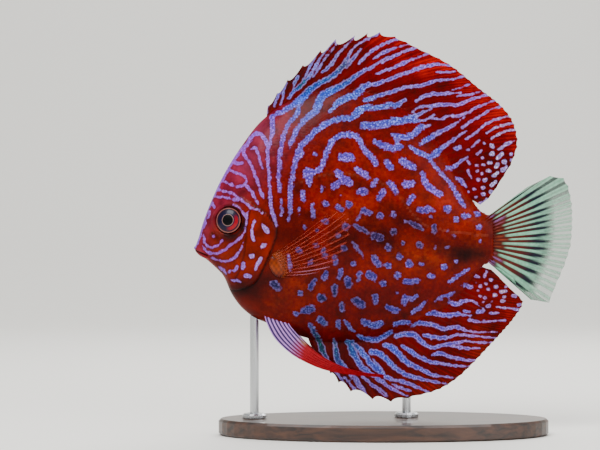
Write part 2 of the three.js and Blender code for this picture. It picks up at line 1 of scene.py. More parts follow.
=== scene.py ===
# %% [markdown]
# # A discus fish on a display stand
# A life-size museum model of a spotted discus: a tall disc of a body, ribbed fins all round,
# small scales, and a painted pattern of lilac-blue stripes and spots on orange-red.
# Each piece is its own object. Lengths in the fish's own frame are millimetres: x runs back from
# the snout and z up from it, the left side is -y, and one function turns them into the row's metres.

import math

import bpy
import numpy as np
from mathutils import Matrix, Vector


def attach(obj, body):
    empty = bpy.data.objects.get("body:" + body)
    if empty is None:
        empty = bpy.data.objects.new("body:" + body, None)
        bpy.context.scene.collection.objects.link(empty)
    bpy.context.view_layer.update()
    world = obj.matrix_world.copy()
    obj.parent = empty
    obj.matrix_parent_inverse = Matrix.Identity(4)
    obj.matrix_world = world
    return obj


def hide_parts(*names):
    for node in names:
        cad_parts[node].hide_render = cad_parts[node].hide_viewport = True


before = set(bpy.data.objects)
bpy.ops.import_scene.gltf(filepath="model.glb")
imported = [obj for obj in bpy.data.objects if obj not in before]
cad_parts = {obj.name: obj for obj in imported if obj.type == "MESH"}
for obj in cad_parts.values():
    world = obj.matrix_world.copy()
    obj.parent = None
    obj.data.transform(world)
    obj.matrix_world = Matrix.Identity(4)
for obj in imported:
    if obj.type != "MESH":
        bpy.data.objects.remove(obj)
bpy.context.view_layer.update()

# %% [markdown]
# ## Scale, and the camera
# The photograph is 600 pixels wide, and a grown discus about 160 mm long covers 377 of them, so one
# pixel is 0.424 mm where the fish is. Places read off the photograph stay in its pixels, and
# `from_photo` turns them into the fish's frame. The camera could be near with a wide lens or far
# with a long one. The photograph shows no far side at all, so it is far, and looks straight at the flank.

# %% Scale and camera
MM = 0.001
MM_PER_METRE = 1000
MM_PER_PIXEL = 0.4244
SNOUT_PIXEL = (195.0, 248.0)
SNOUT_X = -80.0
SNOUT_Z = 79.2
PHOTO_CENTRE = (300.0, 225.0)
PHOTO_WIDTH = 600
LENS = 120.0
SENSOR = 36.0


def from_photo(px, py):
    """Fish millimetres (x, z) of a pixel."""
    return (px - SNOUT_PIXEL[0]) * MM_PER_PIXEL, (SNOUT_PIXEL[1] - py) * MM_PER_PIXEL


def to_row(points):
    """Fish millimetres to the row's metres."""
    return (np.asarray(points, float) + (SNOUT_X, 0, SNOUT_Z)) * MM


def put_in_scene(name, data):
    """An object at the origin that shows a mesh, a light or a camera."""
    thing = bpy.data.objects.new(name, data)
    bpy.context.collection.objects.link(thing)
    return thing


x, z = from_photo(*PHOTO_CENTRE)
distance = PHOTO_WIDTH * MM_PER_PIXEL * LENS / SENSOR * MM
camera_data = bpy.data.cameras.new("camera")
camera_data.lens = LENS
camera_data.sensor_width = SENSOR
camera = put_in_scene("camera", camera_data)
camera.location = to_row((x, 0, z)) - (0, distance, 0)
camera.rotation_euler = (math.pi / 2, 0, 0)
bpy.context.scene.camera = camera
print("camera stands", round(distance, 3), "m off")

# %% [markdown]
# ## The body's shape
# A discus's body is a stack of upright slices from snout to tail. Each slice has a top, a bottom, a
# thickest height and a half thickness, and smooth lines through a few knots give all of them. The
# lines are monotone between knots, so they never bulge past the outline that was read off the photograph.
# How fast a slice closes towards its top and bottom is a power: 0.5 is an ellipse, more is a sharper edge.

# %% Body outline
BACK = [
    (0, 0.6), (1.4, 4.4), (3.1, 10.2), (6.7, 19.7), (10.9, 28.9), (18.5, 41.6), (28.4, 54.3),
    (40.3, 62.6), (53.1, 66.8), (65.8, 67.6), (78.5, 64.6), (91.2, 57.3), (102.7, 45.4),
    (111.6, 31.4), (117.6, 20.6), (121.4, 15.6), (127, 13),
]
BELLY = [
    (0, -1.2), (2.5, -3), (4.9, -5), (8.4, -8.1), (11.9, -11.8), (15.5, -19.6), (19.7, -25.3),
    (25.5, -29.8), (30.3, -31.8), (38.2, -35.2), (45.8, -37.8), (55.2, -39.9), (65.8, -40.3),
    (78.5, -38.2), (91.2, -34), (104, -26.7), (113.3, -18.2), (118.8, -11.5), (122.7, -7.2), (127, -5.2),
]
HALF_WIDTH = [
    (0, 1.2), (1.5, 3), (4, 4.5), (8, 6.4), (14.6, 8.8), (22, 10.8), (32, 12.2), (42, 12.6),
    (55, 12.3), (70, 11.3), (85, 9.4), (100, 6.9), (112, 4.7), (120, 3.5), (125, 2.6), (127, 1.7),
]
MIDDLE = [(0, -0.4), (14.6, 5), (35, 4), (65, 7), (100, 7), (127, 4)]
CLOSING_ABOVE = [(0, 0.5), (15, 0.58), (40, 0.7), (100, 0.7), (127, 0.55)]
CLOSING_BELOW = [(0, 0.5), (30, 0.55), (50, 0.66), (100, 0.7), (127, 0.55)]
BODY_END = 127.0


def smooth_line(knots):
    """A monotone cubic through knots (x, value), as a function of x."""
    xs = np.array([k[0] for k in knots], float)
    vs = np.array([k[1] for k in knots], float)
    step = np.diff(vs) / np.diff(xs)
    lean = np.zeros(len(xs))
    lean[0] = step[0]
    lean[-1] = step[-1]
    same = step[:-1] * step[1:] > 0
    lean[1:-1][same] = (2 * step[:-1] * step[1:] / np.where(same, step[:-1] + step[1:], 1))[same]

    def at(x):
        x = np.asarray(x, float)
        i = np.clip(np.searchsorted(xs, x, side="right") - 1, 0, len(xs) - 2)
        wide = xs[i + 1] - xs[i]
        t = np.clip((x - xs[i]) / wide, 0, 1)
        ease = t * t * (3 - 2 * t)
        swing = wide * t * (1 - t) * (lean[i] * (1 - t) - lean[i + 1] * t)
        return vs[i] + (vs[i + 1] - vs[i]) * ease + swing

    return at


back, belly, half_width, middle = map(smooth_line, (BACK, BELLY, HALF_WIDTH, MIDDLE))
closing_above, closing_below = map(smooth_line, (CLOSING_ABOVE, CLOSING_BELOW))


def half_slice(x, up):
    """How far the upper or the lower half of a slice reaches, and its closing power."""
    reach = np.where(up, back(x) - middle(x), middle(x) - belly(x))
    return reach, np.where(up, closing_above(x), closing_below(x))


def flank(x, z):
    """Half of the body's thickness at x, z."""
    reach, closing = half_slice(x, z > middle(x))
    share = np.clip(np.abs(z - middle(x)) / reach, 0, 1)
    return half_width(x) * (1 - share * share) ** closing


def round_slice(x, turn):
    """Half thickness and height round a slice. Turn 0 is the top, and pi the bottom."""
    reach, closing = half_slice(x, np.cos(turn) > 0)
    return half_width(x) * np.abs(np.sin(turn)) ** (2 * closing), middle(x) + reach * np.cos(turn)


print("flank at mid body", round(float(flank(60, 7)), 2), "mm")

# %% [markdown]
# ## Landmarks of the head and flank
# The eye, the nostril, the mouth, the gill cover's free edge, the fold in front of it and the lateral
# line, which is a row of sense pores, are places and curves in the side view. Both the relief and the
# paint follow them, so each is written down once and read as a distance from it.

# %% Landmarks
EYE = (14.6, 11.7)
EYE_RADIUS = 5.6
NOSTRIL = (7.4, 6.2)
COVER_REAR = [
    (24.6, 18.2), (31, 13.6), (34.6, 7.6), (33.1, 1.4), (29, -8.4), (25.2, -14.8), (18.4, -17.5), (13.4, -17.9),
]
COVER_FOLD = [(23.9, 17), (22.3, 9.2), (21.2, -1.7), (19.2, -9.2), (17.4, -12.4)]
LATERAL_LINE = [
    (43, 27), (50, 29.8), (57, 31), (64, 31.2), (70, 30.2), (76, 28.4), (82, 25.6), (87, 21), (91, 15.4),
    (96, 10.6), (103, 8), (110, 6.6), (118, 5.6), (124, 5),
]
GAP_STEPS = 60


def mouth_height(x):
    return -0.9 - 0.42 * x


def spline(knots, steps):
    """Evenly counted points on a smooth curve through knots of any width."""
    k = np.asarray(knots, float)
    k = np.vstack([2 * k[0] - k[1], k, 2 * k[-1] - k[-2]])
    t = np.linspace(0, len(k) - 3 - 1e-9, steps)
    i = t.astype(int)
    f = (t - i)[:, None]
    a, b, c, d = k[i], k[i + 1], k[i + 2], k[i + 3]
    return 0.5 * (2 * b + (c - a) * f + (2 * a - 5 * b + 4 * c - d) * f**2 + (3 * b - a - 3 * c + d) * f**3)


def line_gap(p, knots):
    """Distance from points to a curve, and which side they are on: right of its course is above zero."""
    line = spline(knots, GAP_STEPS)
    gap = np.full(len(p), 1e9)
    side = np.zeros(len(p))
    for a, b in zip(line[:-1], line[1:]):
        along = b - a
        t = np.clip(((p - a) @ along) / (along @ along), 0, 1)
        off = p - a - t[:, None] * along
        d = np.linalg.norm(off, axis=1)
        closer = d < gap
        gap = np.where(closer, d, gap)
        side = np.where(closer, np.sign(off[:, 0] * along[1] - off[:, 1] * along[0]), side)
    return gap, side


def hump(distance, width):
    """A soft bell: 1 at no distance, and gone at about two widths."""
    return np.exp(-((distance / width) ** 2))


print("gill cover reaches back to", max(x for x, _ in COVER_REAR), "mm")

# %% [markdown]
# ## Helpers for meshes and materials
# One function makes an object from points and faces, one turns a painter's hex colour into
# Blender's linear light, and one adds a node with its settings and links, so a material reads as a
# list. A finish's plain numbers go straight onto the shader's own sockets.

# %% Helpers
def add_mesh(name, points, faces):
    mesh = bpy.data.meshes.new(name)
    mesh.from_pydata(to_row(points).tolist(), [], faces)
    mesh.validate()
    mesh.polygons.foreach_set("use_smooth", [True] * len(mesh.polygons))
    return put_in_scene(name, mesh)


def keep(piece, slot, *nodes):
    """The piece rides on the model and stands for CAD nodes; its slot is not used."""
    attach(piece, "root")
    if nodes:
        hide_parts(*nodes)
    print(piece.name, len(piece.data.polygons), "faces")


def linear(code):
    """An sRGB hex colour in linear light."""
    channels = [int(code[i : i + 2], 16) / 255 for i in (1, 3, 5)]
    return [c / 12.92 if c <= 0.04045 else ((c + 0.055) / 1.055) ** 2.4 for c in channels]


def add_node(tree, kind, settings=None, **links):
    """A node with its settings, and for each named socket either a value or another node's output."""
    node = tree.nodes.new(kind)
    for key, value in (settings or {}).items():
        setattr(node, key, value)
    for key, value in links.items():
        socket = node.inputs[int(key[1:])] if key[1:].isdigit() else node.inputs[key.replace("_", " ")]
        if isinstance(value, bpy.types.NodeSocket):
            tree.links.new(value, socket)
        else:
            socket.default_value = value
    return node


MULTIPLY = {"operation": "MULTIPLY"}
MULTIPLY_ADD = {"operation": "MULTIPLY_ADD"}
SCALE = {"operation": "SCALE"}
SOFT_STEP = {"interpolation_type": "SMOOTHSTEP"}
MIX_COLOUR = {"data_type": "RGBA"}


def new_material(name, **finish):
    """A material with one principled shader. The finish's numbers are set on the shader's sockets."""
    material = bpy.data.materials.new(name)
    material.use_nodes = True
    tree = material.node_tree
    tree.nodes.clear()
    shader = add_node(tree, "ShaderNodeBsdfPrincipled", **finish)
    add_node(tree, "ShaderNodeOutputMaterial", Surface=shader.outputs["BSDF"])
    return material, tree, shader


def put_floats(mesh, name, values):
    layer = mesh.attributes.new(name, "FLOAT", "POINT")
    layer.data.foreach_set("value", np.asarray(values, np.float32))


def put_colours(mesh, name, rgb):
    layer = mesh.attributes.new(name, "FLOAT_COLOR", "POINT")
    rgba = np.ones((len(rgb), 4), np.float32)
    rgba[:, :3] = rgb
    layer.data.foreach_set("color", rgba.ravel())


def put_map(mesh, per_point):
    """The piece's own map, from one place for each of its points."""
    corner = np.zeros(len(mesh.loops), np.int32)
    mesh.loops.foreach_get("vertex_index", corner)
    layer = mesh.uv_layers.new(name="OFBake")
    layer.data.foreach_set("uv", np.asarray(per_point[corner], np.float32).ravel())


def places(mesh):
    """A mesh's points in the fish's millimetres."""
    co = np.zeros(len(mesh.vertices) * 3, np.float32)
    mesh.vertices.foreach_get("co", co)
    return co.reshape(-1, 3).astype(float) * MM_PER_METRE - (SNOUT_X, 0, SNOUT_Z)


print("pure red in linear light:", linear("#FF0000"))

# %% [markdown]
# ## The painted pattern
# The stripes and spots are strokes of a brush: each is a few places with a width, read off the
# photograph. At any point of the skin the nearest stroke's edge is a distance, and the
# material draws the edge sharply from that distance, so the pattern needs no picture. Both sides
# carry it: the far side takes the same strokes, drawn a little to and fro so that it isn't a print.

# %% Strokes on the head and flank
# Each table lists places as "x y width" in pixels with commas between, and a semicolon ends a stroke.
def strokes(table):
    """Lists of places (x, y, width), one list for each stroke."""
    return [[tuple(map(float, place.split())) for place in stroke.split(",")] for stroke in table.split(";")]


HEAD_STROKES = strokes("""
252 141 2, 243 148 3.4, 233 161 3.4, 223 178 3.4, 214 195 3, 207 212 3, 202 228 3, 198 241 3, 195 247 3.4;
243 152 3, 247 145 3.5, 251 138 4, 257 134 4.5, 263 137 4, 267 145 3.4, 268 158 3.2, 269 172 3.2, 270 188 3.2,
271 203 3.4, 273 214 3.6, 277 226 3; 251 150 2, 256 149 3, 259 156 2.6, 261 163 2.4, 263 169 1.6; 272 117 4.5,
273 127 4.5, 272 137 4, 269 148 3.2; 243 152 4, 246 158 3, 250 163 2.6, 254 172 2.8, 258 183 3, 261 192 3,
264 199 1.8; 229 169 2.6, 235 173 2.8, 242 175 2.8, 247 180 2.6, 246 185 2.6, 251 191 2.8, 255 197 2.8,
259 204 1.8; 221 181 2.6, 230 184 2.8, 238 187 2.8, 246 185 2.6; 216 189 2.4, 226 192 2.4, 234 194 2.4,
241 199 2.4, 247 204 2.4, 252 208 2.2, 258 210 2, 264 214 1.4; 213 196 2, 220 197 2, 228 198 2.2, 235 200 2.2,
243 201 2; 211 202 3, 215 207 2; 233 161 2.6, 238 164 3.4, 244 163 2; 234 205 1.4, 240 208 1.8, 244 213 1.8,
247 218 1.6; 252 208 1.8, 248 213 2, 247 221 2, 246 229 2.2, 243 235 2.4, 238 240 2.6, 231 245 2.6, 225 250 2.4,
219 253 2.2, 212 253 2.2, 207 251 2, 203 246 1.6; 204 234 1.8, 205 241 2.4, 208 246 2.6, 213 247 2.6,
219 245 2.4, 223 240 1.6; 244 243 1.6, 242 248 2.4, 238 254 2.6, 233 259 2.6, 226 261 2.4, 219 260 2.2,
212 258 1.6; 219 266 1.8, 223 269 2.2, 227 273 2.4, 231 270 2.4, 235 270 2.4, 238 266 1.8; 232 280 1.6,
237 280 2.4, 241 282 1.6; 255 221 3, 253 227 2.6, 253 233 3, 254 240 3; 263 225 3, 266 229 4.6, 268 232 3.4;
262 247 3.4, 266 244 3.6; 252 256 5; 244 263 4, 244 267 4; 261 258 3.2, 258 264 3.8, 256 270 1.6; 246 275 3.6,
251 276 4; 214 236 2.6; 206 222 2.4, 204 228 1.6; 210 211 3, 208 218 2
""")
FLANK_STRIPES = strokes("""
299 107 4, 297 114 4.4, 291 121 4.4, 286 130 4.2, 283 138 4.2, 281 148 4.2, 279.5 158 4.2, 279 170 4.2,
279 182 4.2, 280 192 3.6; 281 199 2.6, 282 207 3, 282 216 2; 321 97 6.5, 319 105 6, 316 112 5.5, 308 117 5,
301 125 4.8, 295 134 4.6, 291 143 4, 290 149 2.4; 405 100 4, 396 105 6, 388 105 5.5, 380 108 6, 371 108 5,
362 109 7, 356 114 8, 350 119 5.5, 340 119 5.2, 331 122 5.4, 322 127 5.6, 314 133 5.6, 307 140 5.4, 301 147 5.2,
297 157 5, 294 168 5, 292 179 4.8, 290.5 190 4.4, 290 203 4, 290 213 3.8, 289 222 2.4; 301 150 4, 302 158 2;
375 166 5, 372 159 6, 365 152 5.2, 360 143 5, 355 137 5.4, 347 135 6, 339 137 5.4, 332 142 5.4, 327 151 5.2,
324 161 5.2, 320 169 5, 314 173 5.5, 307 173 9, 309 180 7, 309 187 3; 362 126 6.5, 372 126 8, 382 125 7.5,
392 122 7.5, 402 121 7.5, 412 118 7, 419 114 4, 426 111 2; 410 121 4, 420 121 2.6, 428 119 2.6, 434 115 2.6;
374 142 4.5, 382 146 6.5, 392 149 6.5, 401 147 4; 397 146 5, 395 138 4; 391 135 3.4, 399 137 5.6, 408 137 6,
415 133 6, 421 127 6, 426 126 3; 420 144 4, 428 139 5, 436 134 4.8, 444 130 4.2, 452 126 3.6, 459 121 2;
408 146 3.4, 415 151 4.6, 422 155 4.8, 428 158 4.4, 433 165 3.6, 440 173 3.6, 447 181 3.8, 453 189 4.4,
457 196 5.4, 460 202 5, 464 207 2.6; 429 157 4, 435 154 7, 441 148 4.6, 449 143 4, 456 138 3, 462 134 1.8;
421 173 4, 424 182 6, 430 189 6.5, 440 195 5; 345 320 3.6, 348 326 5, 354 331 3; 357 335 4, 366 339 5.4,
376 340 5.4, 384 336 5.6, 391 332 5; 361 320 4, 367 323 6.5, 374 325 6.5, 380 323 7; 394 324 4.4, 402 322 5,
409 322 3; 354 225 4.4, 360 229 4.8, 367 233 3.6; 352 242 3.4, 358 250 3.6, 362 257 2.6
""")
FLANK_SPOTS = strokes("""
341 158 8.4, 350 158 9; 337 173 7.3, 341 178 6.7; 346 181 9, 349 184 6.7; 333 187 6.2, 340 182 6.7; 356 170 5.6,
361 173 7.3, 367 178 4.5; 371 186 5, 376 180 3.9; 359 192 7.3, 364 192 7.3; 378 199 5.6, 382 192 6.2;
388 183 5.2, 393 188 6, 395 194 4; 404 185 7.3, 411 184 6.7; 407 203 4.7, 411 197 5.6; 419 210 7.3, 427 210 6.7;
433 210 3.4; 446 209 8.4; 455 219 6; 463 216 5.6, 468 216 4.9; 477 214 6.7; 386 163 6.7, 390 168 6.7;
401 161 6.2, 407 165 7.8, 413 168 6.2; 312 205 4.3, 313 218 4; 302 193 4.9, 303 200 4.9; 299 209 2.7,
299 215 2.2; 322 187 3.8, 321 193 2.9; 325 204 7.2; 315 155 4.5; 337 207 6.7, 341 210 4.5; 348 205 7.4;
325 222 6.7; 345 227 7.4; 304 227 3.8; 343 248 6.7; 274 283 7.8, 278 287 6.7; 299 250 6.3; 288 254 2.9,
290 262 3.8, 290 270 2.7; 300 292 6; 296 313 4.9; 304 310 7.8, 311 308 8.3; 310 288 5.6, 314 279 5.2;
324 277 5.6, 326 272 5.2; 339 276 5.6, 340 270 5.6; 323 250 4.9, 324 257 4.5; 334 256 5.2, 335 263 4.5;
321 297 9; 334 286 5.4, 334 293 5.4; 341 303 4.9, 342 309 4.9; 320 319 7.8, 324 323 6.7; 337 321 4.5,
338 327 4.9; 310 262 5.2; 316 244 5.2; 347 278 6.7, 348 285 6.7; 352 263 6.3; 359 272 3.8, 357 281 3.4;
368 274 7.8, 373 277 7.8; 373 257 5.6, 375 261 7.2, 378 265 5.2; 387 265 6.7; 387 247 6.9; 398 256 6.5;
408 263 7.8; 396 275 6.9; 382 283 6.7; 405 281 6.7, 410 281 6.7; 416 281 5.6; 430 276 6.7; 443 267 6.7;
421 264 4.9; 455 262 4; 374 296 6.7, 375 302 4.5; 355 300 7.8, 361 304 7.8; 387 307 5.6, 396 310 5.6;
396 292 2.9; 362 210 5.6, 368 213 6.7; 356 221 2.9, 361 213 2.7; 379 216 6.7; 373 236 7.8, 379 238 8.3;
392 232 6.7; 392 215 6.3; 418 245 6.7; 409 222 4.5, 416 226 5.6, 421 229 4.5; 405 221 3.8; 433 226 4.5,
433 233 4.9; 447 231 3.8; 454 236 4; 478 227 5.6; 479 241 2.9; 434 247 4; 446 247 4; 402 243 3.8; 337 235 4.9;
404 297 6.3, 404 303 5.6; 410 298 5.2, 416 296 4.5; 340 196 2.2; 430 217 2.7; 316 230 3.4; 364 321 2.2;
411 312 3.4, 419 307 4.5, 425 301 3.4; 448 282 3.4, 455 277 4, 462 272 3.8, 468 269 2.7
""")
print("strokes on head and flank:", len(HEAD_STROKES), len(FLANK_STRIPES), len(FLANK_SPOTS))

# %% [markdown]
# The fins carry the same kind of strokes, longer and finer, running out along the rays. The last
# lobe of each of the two big fins breaks up into pale mint dots.

# %% Strokes on the fins
BACK_FIN_STROKES = strokes("""
271 117 4, 282 112 4.6, 292 106 6, 300 100 8, 306 94 8, 312 88 6.5, 320 83 6, 330 78 5.6, 338 71 6, 344 65 6,
348 57 4, 352 50 2.6, 358 44 2, 368 39 2, 378 34 2; 346 67 4, 351 61 4, 356 55 3, 361 49 2; 289 98 3.4,
293 92 4, 299 87 5, 304 82 4.6, 309 77 3.6, 313 70 3, 318 62 2.6, 323 54 2.4, 328 48 2.6, 334 42 2.4; 314 76 2,
319 69 2, 324 60 2, 331 51 2, 336 45 1.6; 322 72 2.4, 328 68 3.4, 333 62 3.4, 337 55 3, 343 49 2.6, 349 42 2.4,
353 38 2; 281 104 2, 283 96 3, 284 90 3, 287 83 2; 274 107 1.8, 276 100 2.4, 280 92 1.8; 293 91 2, 295 83 3,
298 76 2; 303 82 3, 307 72 2.8, 313 61 2.2, 318 52 1.6; 267 113 2, 268 107 2; 316 108 6, 320 99 7.5, 325 94 8,
333 90 7.5, 341 86 7, 348 81 6, 356 76 5, 363 71 4.4, 372 67 3.6, 381 61 2.4; 359 63 2.4, 364 58 3.4, 370 52 3,
378 47 2.8, 388 42 2.8, 397 39 2; 373 59 2, 381 54 3, 389 50 3, 397 47 2.6, 404 45 1.8; 382 63 1.8, 391 58 3,
400 53 3, 409 50 2.6, 418 47 1.8; 376 74 2, 384 71 2.8, 393 68 3.4, 403 63 3.4, 413 59 2.6, 426 54 1.6;
330 112 4, 338 103 6.4, 345 99 7, 355 95 7, 361 89 7, 367 85 5.6, 376 84 4.4, 385 81 4, 393 78 3.6, 402 74 4,
411 71 4.2, 420 68 4.2, 430 65 3.6, 438 64 3, 446 65 1.8; 364 101 4, 372 98 4.6, 380 95 4.4, 388 93 4, 397 90 4,
407 87 3.4, 417 86 3.6, 426 84 4, 434 81 3.4, 443 80 2.6, 452 79 2.2, 460 77 1.8; 416 101 2.6, 424 96 3.8,
432 94 4, 442 94 3.6, 450 93 2.8, 456 93 1.6; 457 96 2, 466 95 2.6, 474 93 2.2, 481 91 1.6; 412 113 1.8,
419 107 2.8, 428 106 3, 438 105 3.8, 448 104 4, 456 105 3.6, 465 102 3, 475 98 2.2, 486 95 1.8; 432 118 2,
440 119 2.2, 448 116 3, 458 116 2.8, 467 113 3, 475 108 2.6, 485 104 2, 496 100 1.8; 462 128 2.6, 470 122 3,
480 116 2.4, 490 110 2, 501 106 1.8; 466 139 2.2, 474 134 2.6, 482 127 2.6, 490 122 2.4, 500 118 2.2,
510 116 1.8; 487 133 2, 495 128 2.4, 504 125 2.4, 513 123 1.8; 491 139 2, 499 134 2.4, 507 131 2.4, 515 130 1.8;
436 72 1.8, 446 72 2.2, 455 71 1.6; 452 90 1.6, 462 87 2, 470 84 1.6; 446 169 3.6, 453 168 4.4, 460 162 3.4,
467 157 2; 456 149 4.6, 460 147 4; 457 178 4, 462 182 5, 466 187 2
""")
BACK_FIN_DOTS = strokes("""
492 146 5.2; 492 154 5; 499 149 3.6, 507 144 3, 514 141 2.6; 497 158 4, 502 154 3.8; 490 163 4.6; 504 162 5;
496 167 4.2, 498 164 3.8; 489 171 4.6; 502 171 3.6, 506 167 3; 485 180 4.4; 493 176 3.8, 497 173 3.8; 491 185 4,
496 182 4; 483 188 4.4; 491 192 4; 483 194 4.4; 487 199 3.2; 479 204 2.4, 484 202 2.4; 472 203 3; 511 154 3;
511 160 2.4; 468 150 3.4; 471 147 1.8, 479 140 2; 477 154 2.4, 481 151 2.4; 468 161 2.4, 470 164 2.4;
477 165 3.2; 477 171 3; 483 158 3; 483 165 2.6; 482 174 2.6; 478 180 3.8; 468 171 2.2, 471 178 1.8; 474 189 3.8;
476 197 3.4; 484 143 3; 468 192 2
""")
BELLY_FIN_STROKES = strokes("""
309 323 4, 314 332 5, 319 341 6, 322 349 7, 326 356 4; 334 340 4, 336 350 6, 337 358 7, 341 364 6, 348 370 4.4,
354 376 4, 359 383 3.4, 365 392 2; 347 341 5, 352 350 8, 356 358 7, 362 367 6, 371 374 4.6, 380 380 4.4,
389 387 3.8, 399 392 2; 352 342 4, 360 350 6, 366 357 6, 371 363 6.4, 377 369 6.4, 384 375 5, 391 379 4,
400 381 4, 409 384 4, 417 387 3.4, 424 390 2; 371 352 6, 378 353 6.4, 385 358 5.6, 391 364 5.6, 397 369 4.6,
405 374 4.4, 413 377 4.2, 422 379 3.6, 431 381 2.6, 442 383 1.8; 384 345 4, 391 347 6.6, 398 353 6.4,
404 360 5.6, 412 365 5, 421 369 4.6, 431 374 3.8, 441 376 2.6, 449 377 1.6; 402 346 3.4, 409 350 4.4,
416 355 4.6, 424 359 4.4, 432 362 4.2, 442 363 3.4, 452 365 2.8, 463 366 1.8; 397 336 4.6, 406 334 5.4,
414 335 6, 420 340 5.4, 426 345 4.6, 433 348 3.8, 441 346 3.8, 450 344 4, 456 343 3.4, 464 341 2.6, 475 342 2.2,
486 342 1.6; 450 345 3.4, 458 347 3, 467 348 2.6, 479 348 1.6; 424 335 4, 432 337 4.4, 440 338 3.4, 448 337 3.4,
456 335 3.2, 465 335 2.8, 475 336 2.2, 487 337 1.6; 411 326 2.4, 420 323 4.6, 428 324 4.6, 436 326 4.6,
444 329 4, 452 327 4, 460 328 4, 468 331 3, 478 332 2.2, 490 332 1.6; 427 314 3, 434 313 4.6, 442 315 5,
450 315 5, 458 314 4, 465 315 2; 449 302 3.6, 456 304 4.6, 464 301 3.6, 472 301 2.2, 478 305 1.6; 432 355 2.4,
440 353 3.8, 448 356 4, 456 358 3.2, 466 360 2.4, 475 360 1.6; 469 320 3.6, 480 322 2.4, 492 321 2.2,
505 320 1.4; 434 301 2.6, 441 297 4, 448 295 4, 454 293 2; 461 285 2.2, 467 286 4.6, 471 287 3.6; 344 377 2.2,
352 386 2.4, 358 393 1.6; 362 376 2.8, 370 383 3, 377 389 2.6, 385 396 1.6; 331 366 2, 338 375 2.4, 346 385 1.6;
350 375 2.6, 355 382 2.6, 362 391 1.8; 376 386 2, 383 391 2.4, 389 397 1.6; 393 384 2.4, 401 388 3, 411 391 2;
373 359 2.6, 378 366 3.4, 384 372 2.4
""")
BELLY_FIN_DOTS = strokes("""
475 276 3.4, 479 277 2; 487 271 2.4, 484 277 2.6; 491 280 4; 486 284 3; 480 286 3; 478 291 2.4; 496 287 4.2;
488 289 3; 501 292 3.4, 506 291 3; 480 296 2.6; 485 298 2.6; 495 295 4; 504 297 3.4; 484 302 2.6; 492 301 2.4;
503 301 4; 488 306 4; 506 287 3; 514 296 4.6; 519 305 3.6; 497 307 2.2, 508 308 2.6, 520 310 2.2; 464 311 3,
469 312 2.6; 478 312 4.4, 483 311 3.6; 490 313 2.4, 499 313 2; 484 262 2.6; 480 266 2.6; 476 283 2
""")
print("strokes on the fins:", len(BACK_FIN_STROKES + BACK_FIN_DOTS), len(BELLY_FIN_STROKES + BELLY_FIN_DOTS))

# %% [markdown]
# ## How far inside a stroke
# A stroke could be filled pixel by pixel on a picture. Here every point of a mesh is asked how deep
# it lies inside the nearest stroke, which gives one number to store and a clean edge at any size.

# %% Distance to the strokes
STEPS_PER_STROKE_PART = 4
DAB = 0.3
FAR_OUTSIDE = 6.0
# The far side sways from 2 mm past the middle, and from the gill cover back, by up to 3 pixels.
FAR_SIDE_IN = 2.0
FAR_SIDE_FROM = 262.0
FAR_SIDE_EASE = 30.0
FAR_SIDE_SWAY = 3.0


def smooth_stroke(stroke):
    """Closely set places along a stroke. A single dab is drawn as a very short one."""
    if len(stroke) == 1:
        x, y, w = stroke[0]
        stroke = [(x - DAB, y, w), (x + DAB, y, w)]
    return spline(stroke, STEPS_PER_STROKE_PART * (len(stroke) - 1) + 1)


def edge_distance(points_px, strokes, width_gain=1.0):
    """How far inside the nearest stroke each point is, in pixels; outside is below zero."""
    inside = np.full(len(points_px), -FAR_OUTSIDE)
    for stroke in strokes:
        line = smooth_stroke(stroke)
        reach = line[:, 2].max() / 2 + FAR_OUTSIDE
        low = line[:, :2].min(axis=0) - reach
        high = line[:, :2].max(axis=0) + reach
        near = np.nonzero(((points_px > low) & (points_px < high)).all(axis=1))[0]
        if not len(near):
            continue
        p = points_px[near]
        best = inside[near]
        for a, b in zip(line[:-1], line[1:]):
            along = b[:2] - a[:2]
            t = np.clip(((p - a[:2]) @ along) / max(along @ along, 1e-9), 0, 1)
            gap = np.linalg.norm(p - a[:2] - t[:, None] * along, axis=1)
            best = np.maximum(best, width_gain * (a[2] + t * (b[2] - a[2])) / 2 - gap)
        inside[near] = best
    return inside


def photo_places(points):
    """Where fish millimetres fall in the photograph, with the far side drawn a little to and fro."""
    px = points[:, 0] / MM_PER_PIXEL + SNOUT_PIXEL[0]
    py = SNOUT_PIXEL[1] - points[:, 2] / MM_PER_PIXEL
    far = np.clip(points[:, 1] / FAR_SIDE_IN, 0, 1)
    sway = far * np.clip((px - FAR_SIDE_FROM) / FAR_SIDE_EASE, 0, 1) * FAR_SIDE_SWAY
    px = px + sway * np.sin(py / 17 + 1.3)
    py = py + sway * np.sin(px / 21)
    return np.column_stack([px, py])


print("a stroke of 4 places is drawn with", len(smooth_stroke(HEAD_STROKES[2][:4])), "points")

# %% [markdown]
# ## Colours that change over the fish
# The ground runs from rose on the forehead over orange-red flanks to crimson on the back, and the
# marks from lilac on the head through periwinkle to bright blue near the fins. A few broad soft
# patches, laid over each other like an airbrush, are enough for both. The gains lay all paint on
# deeper than it should look, because studio light pales strong reds.

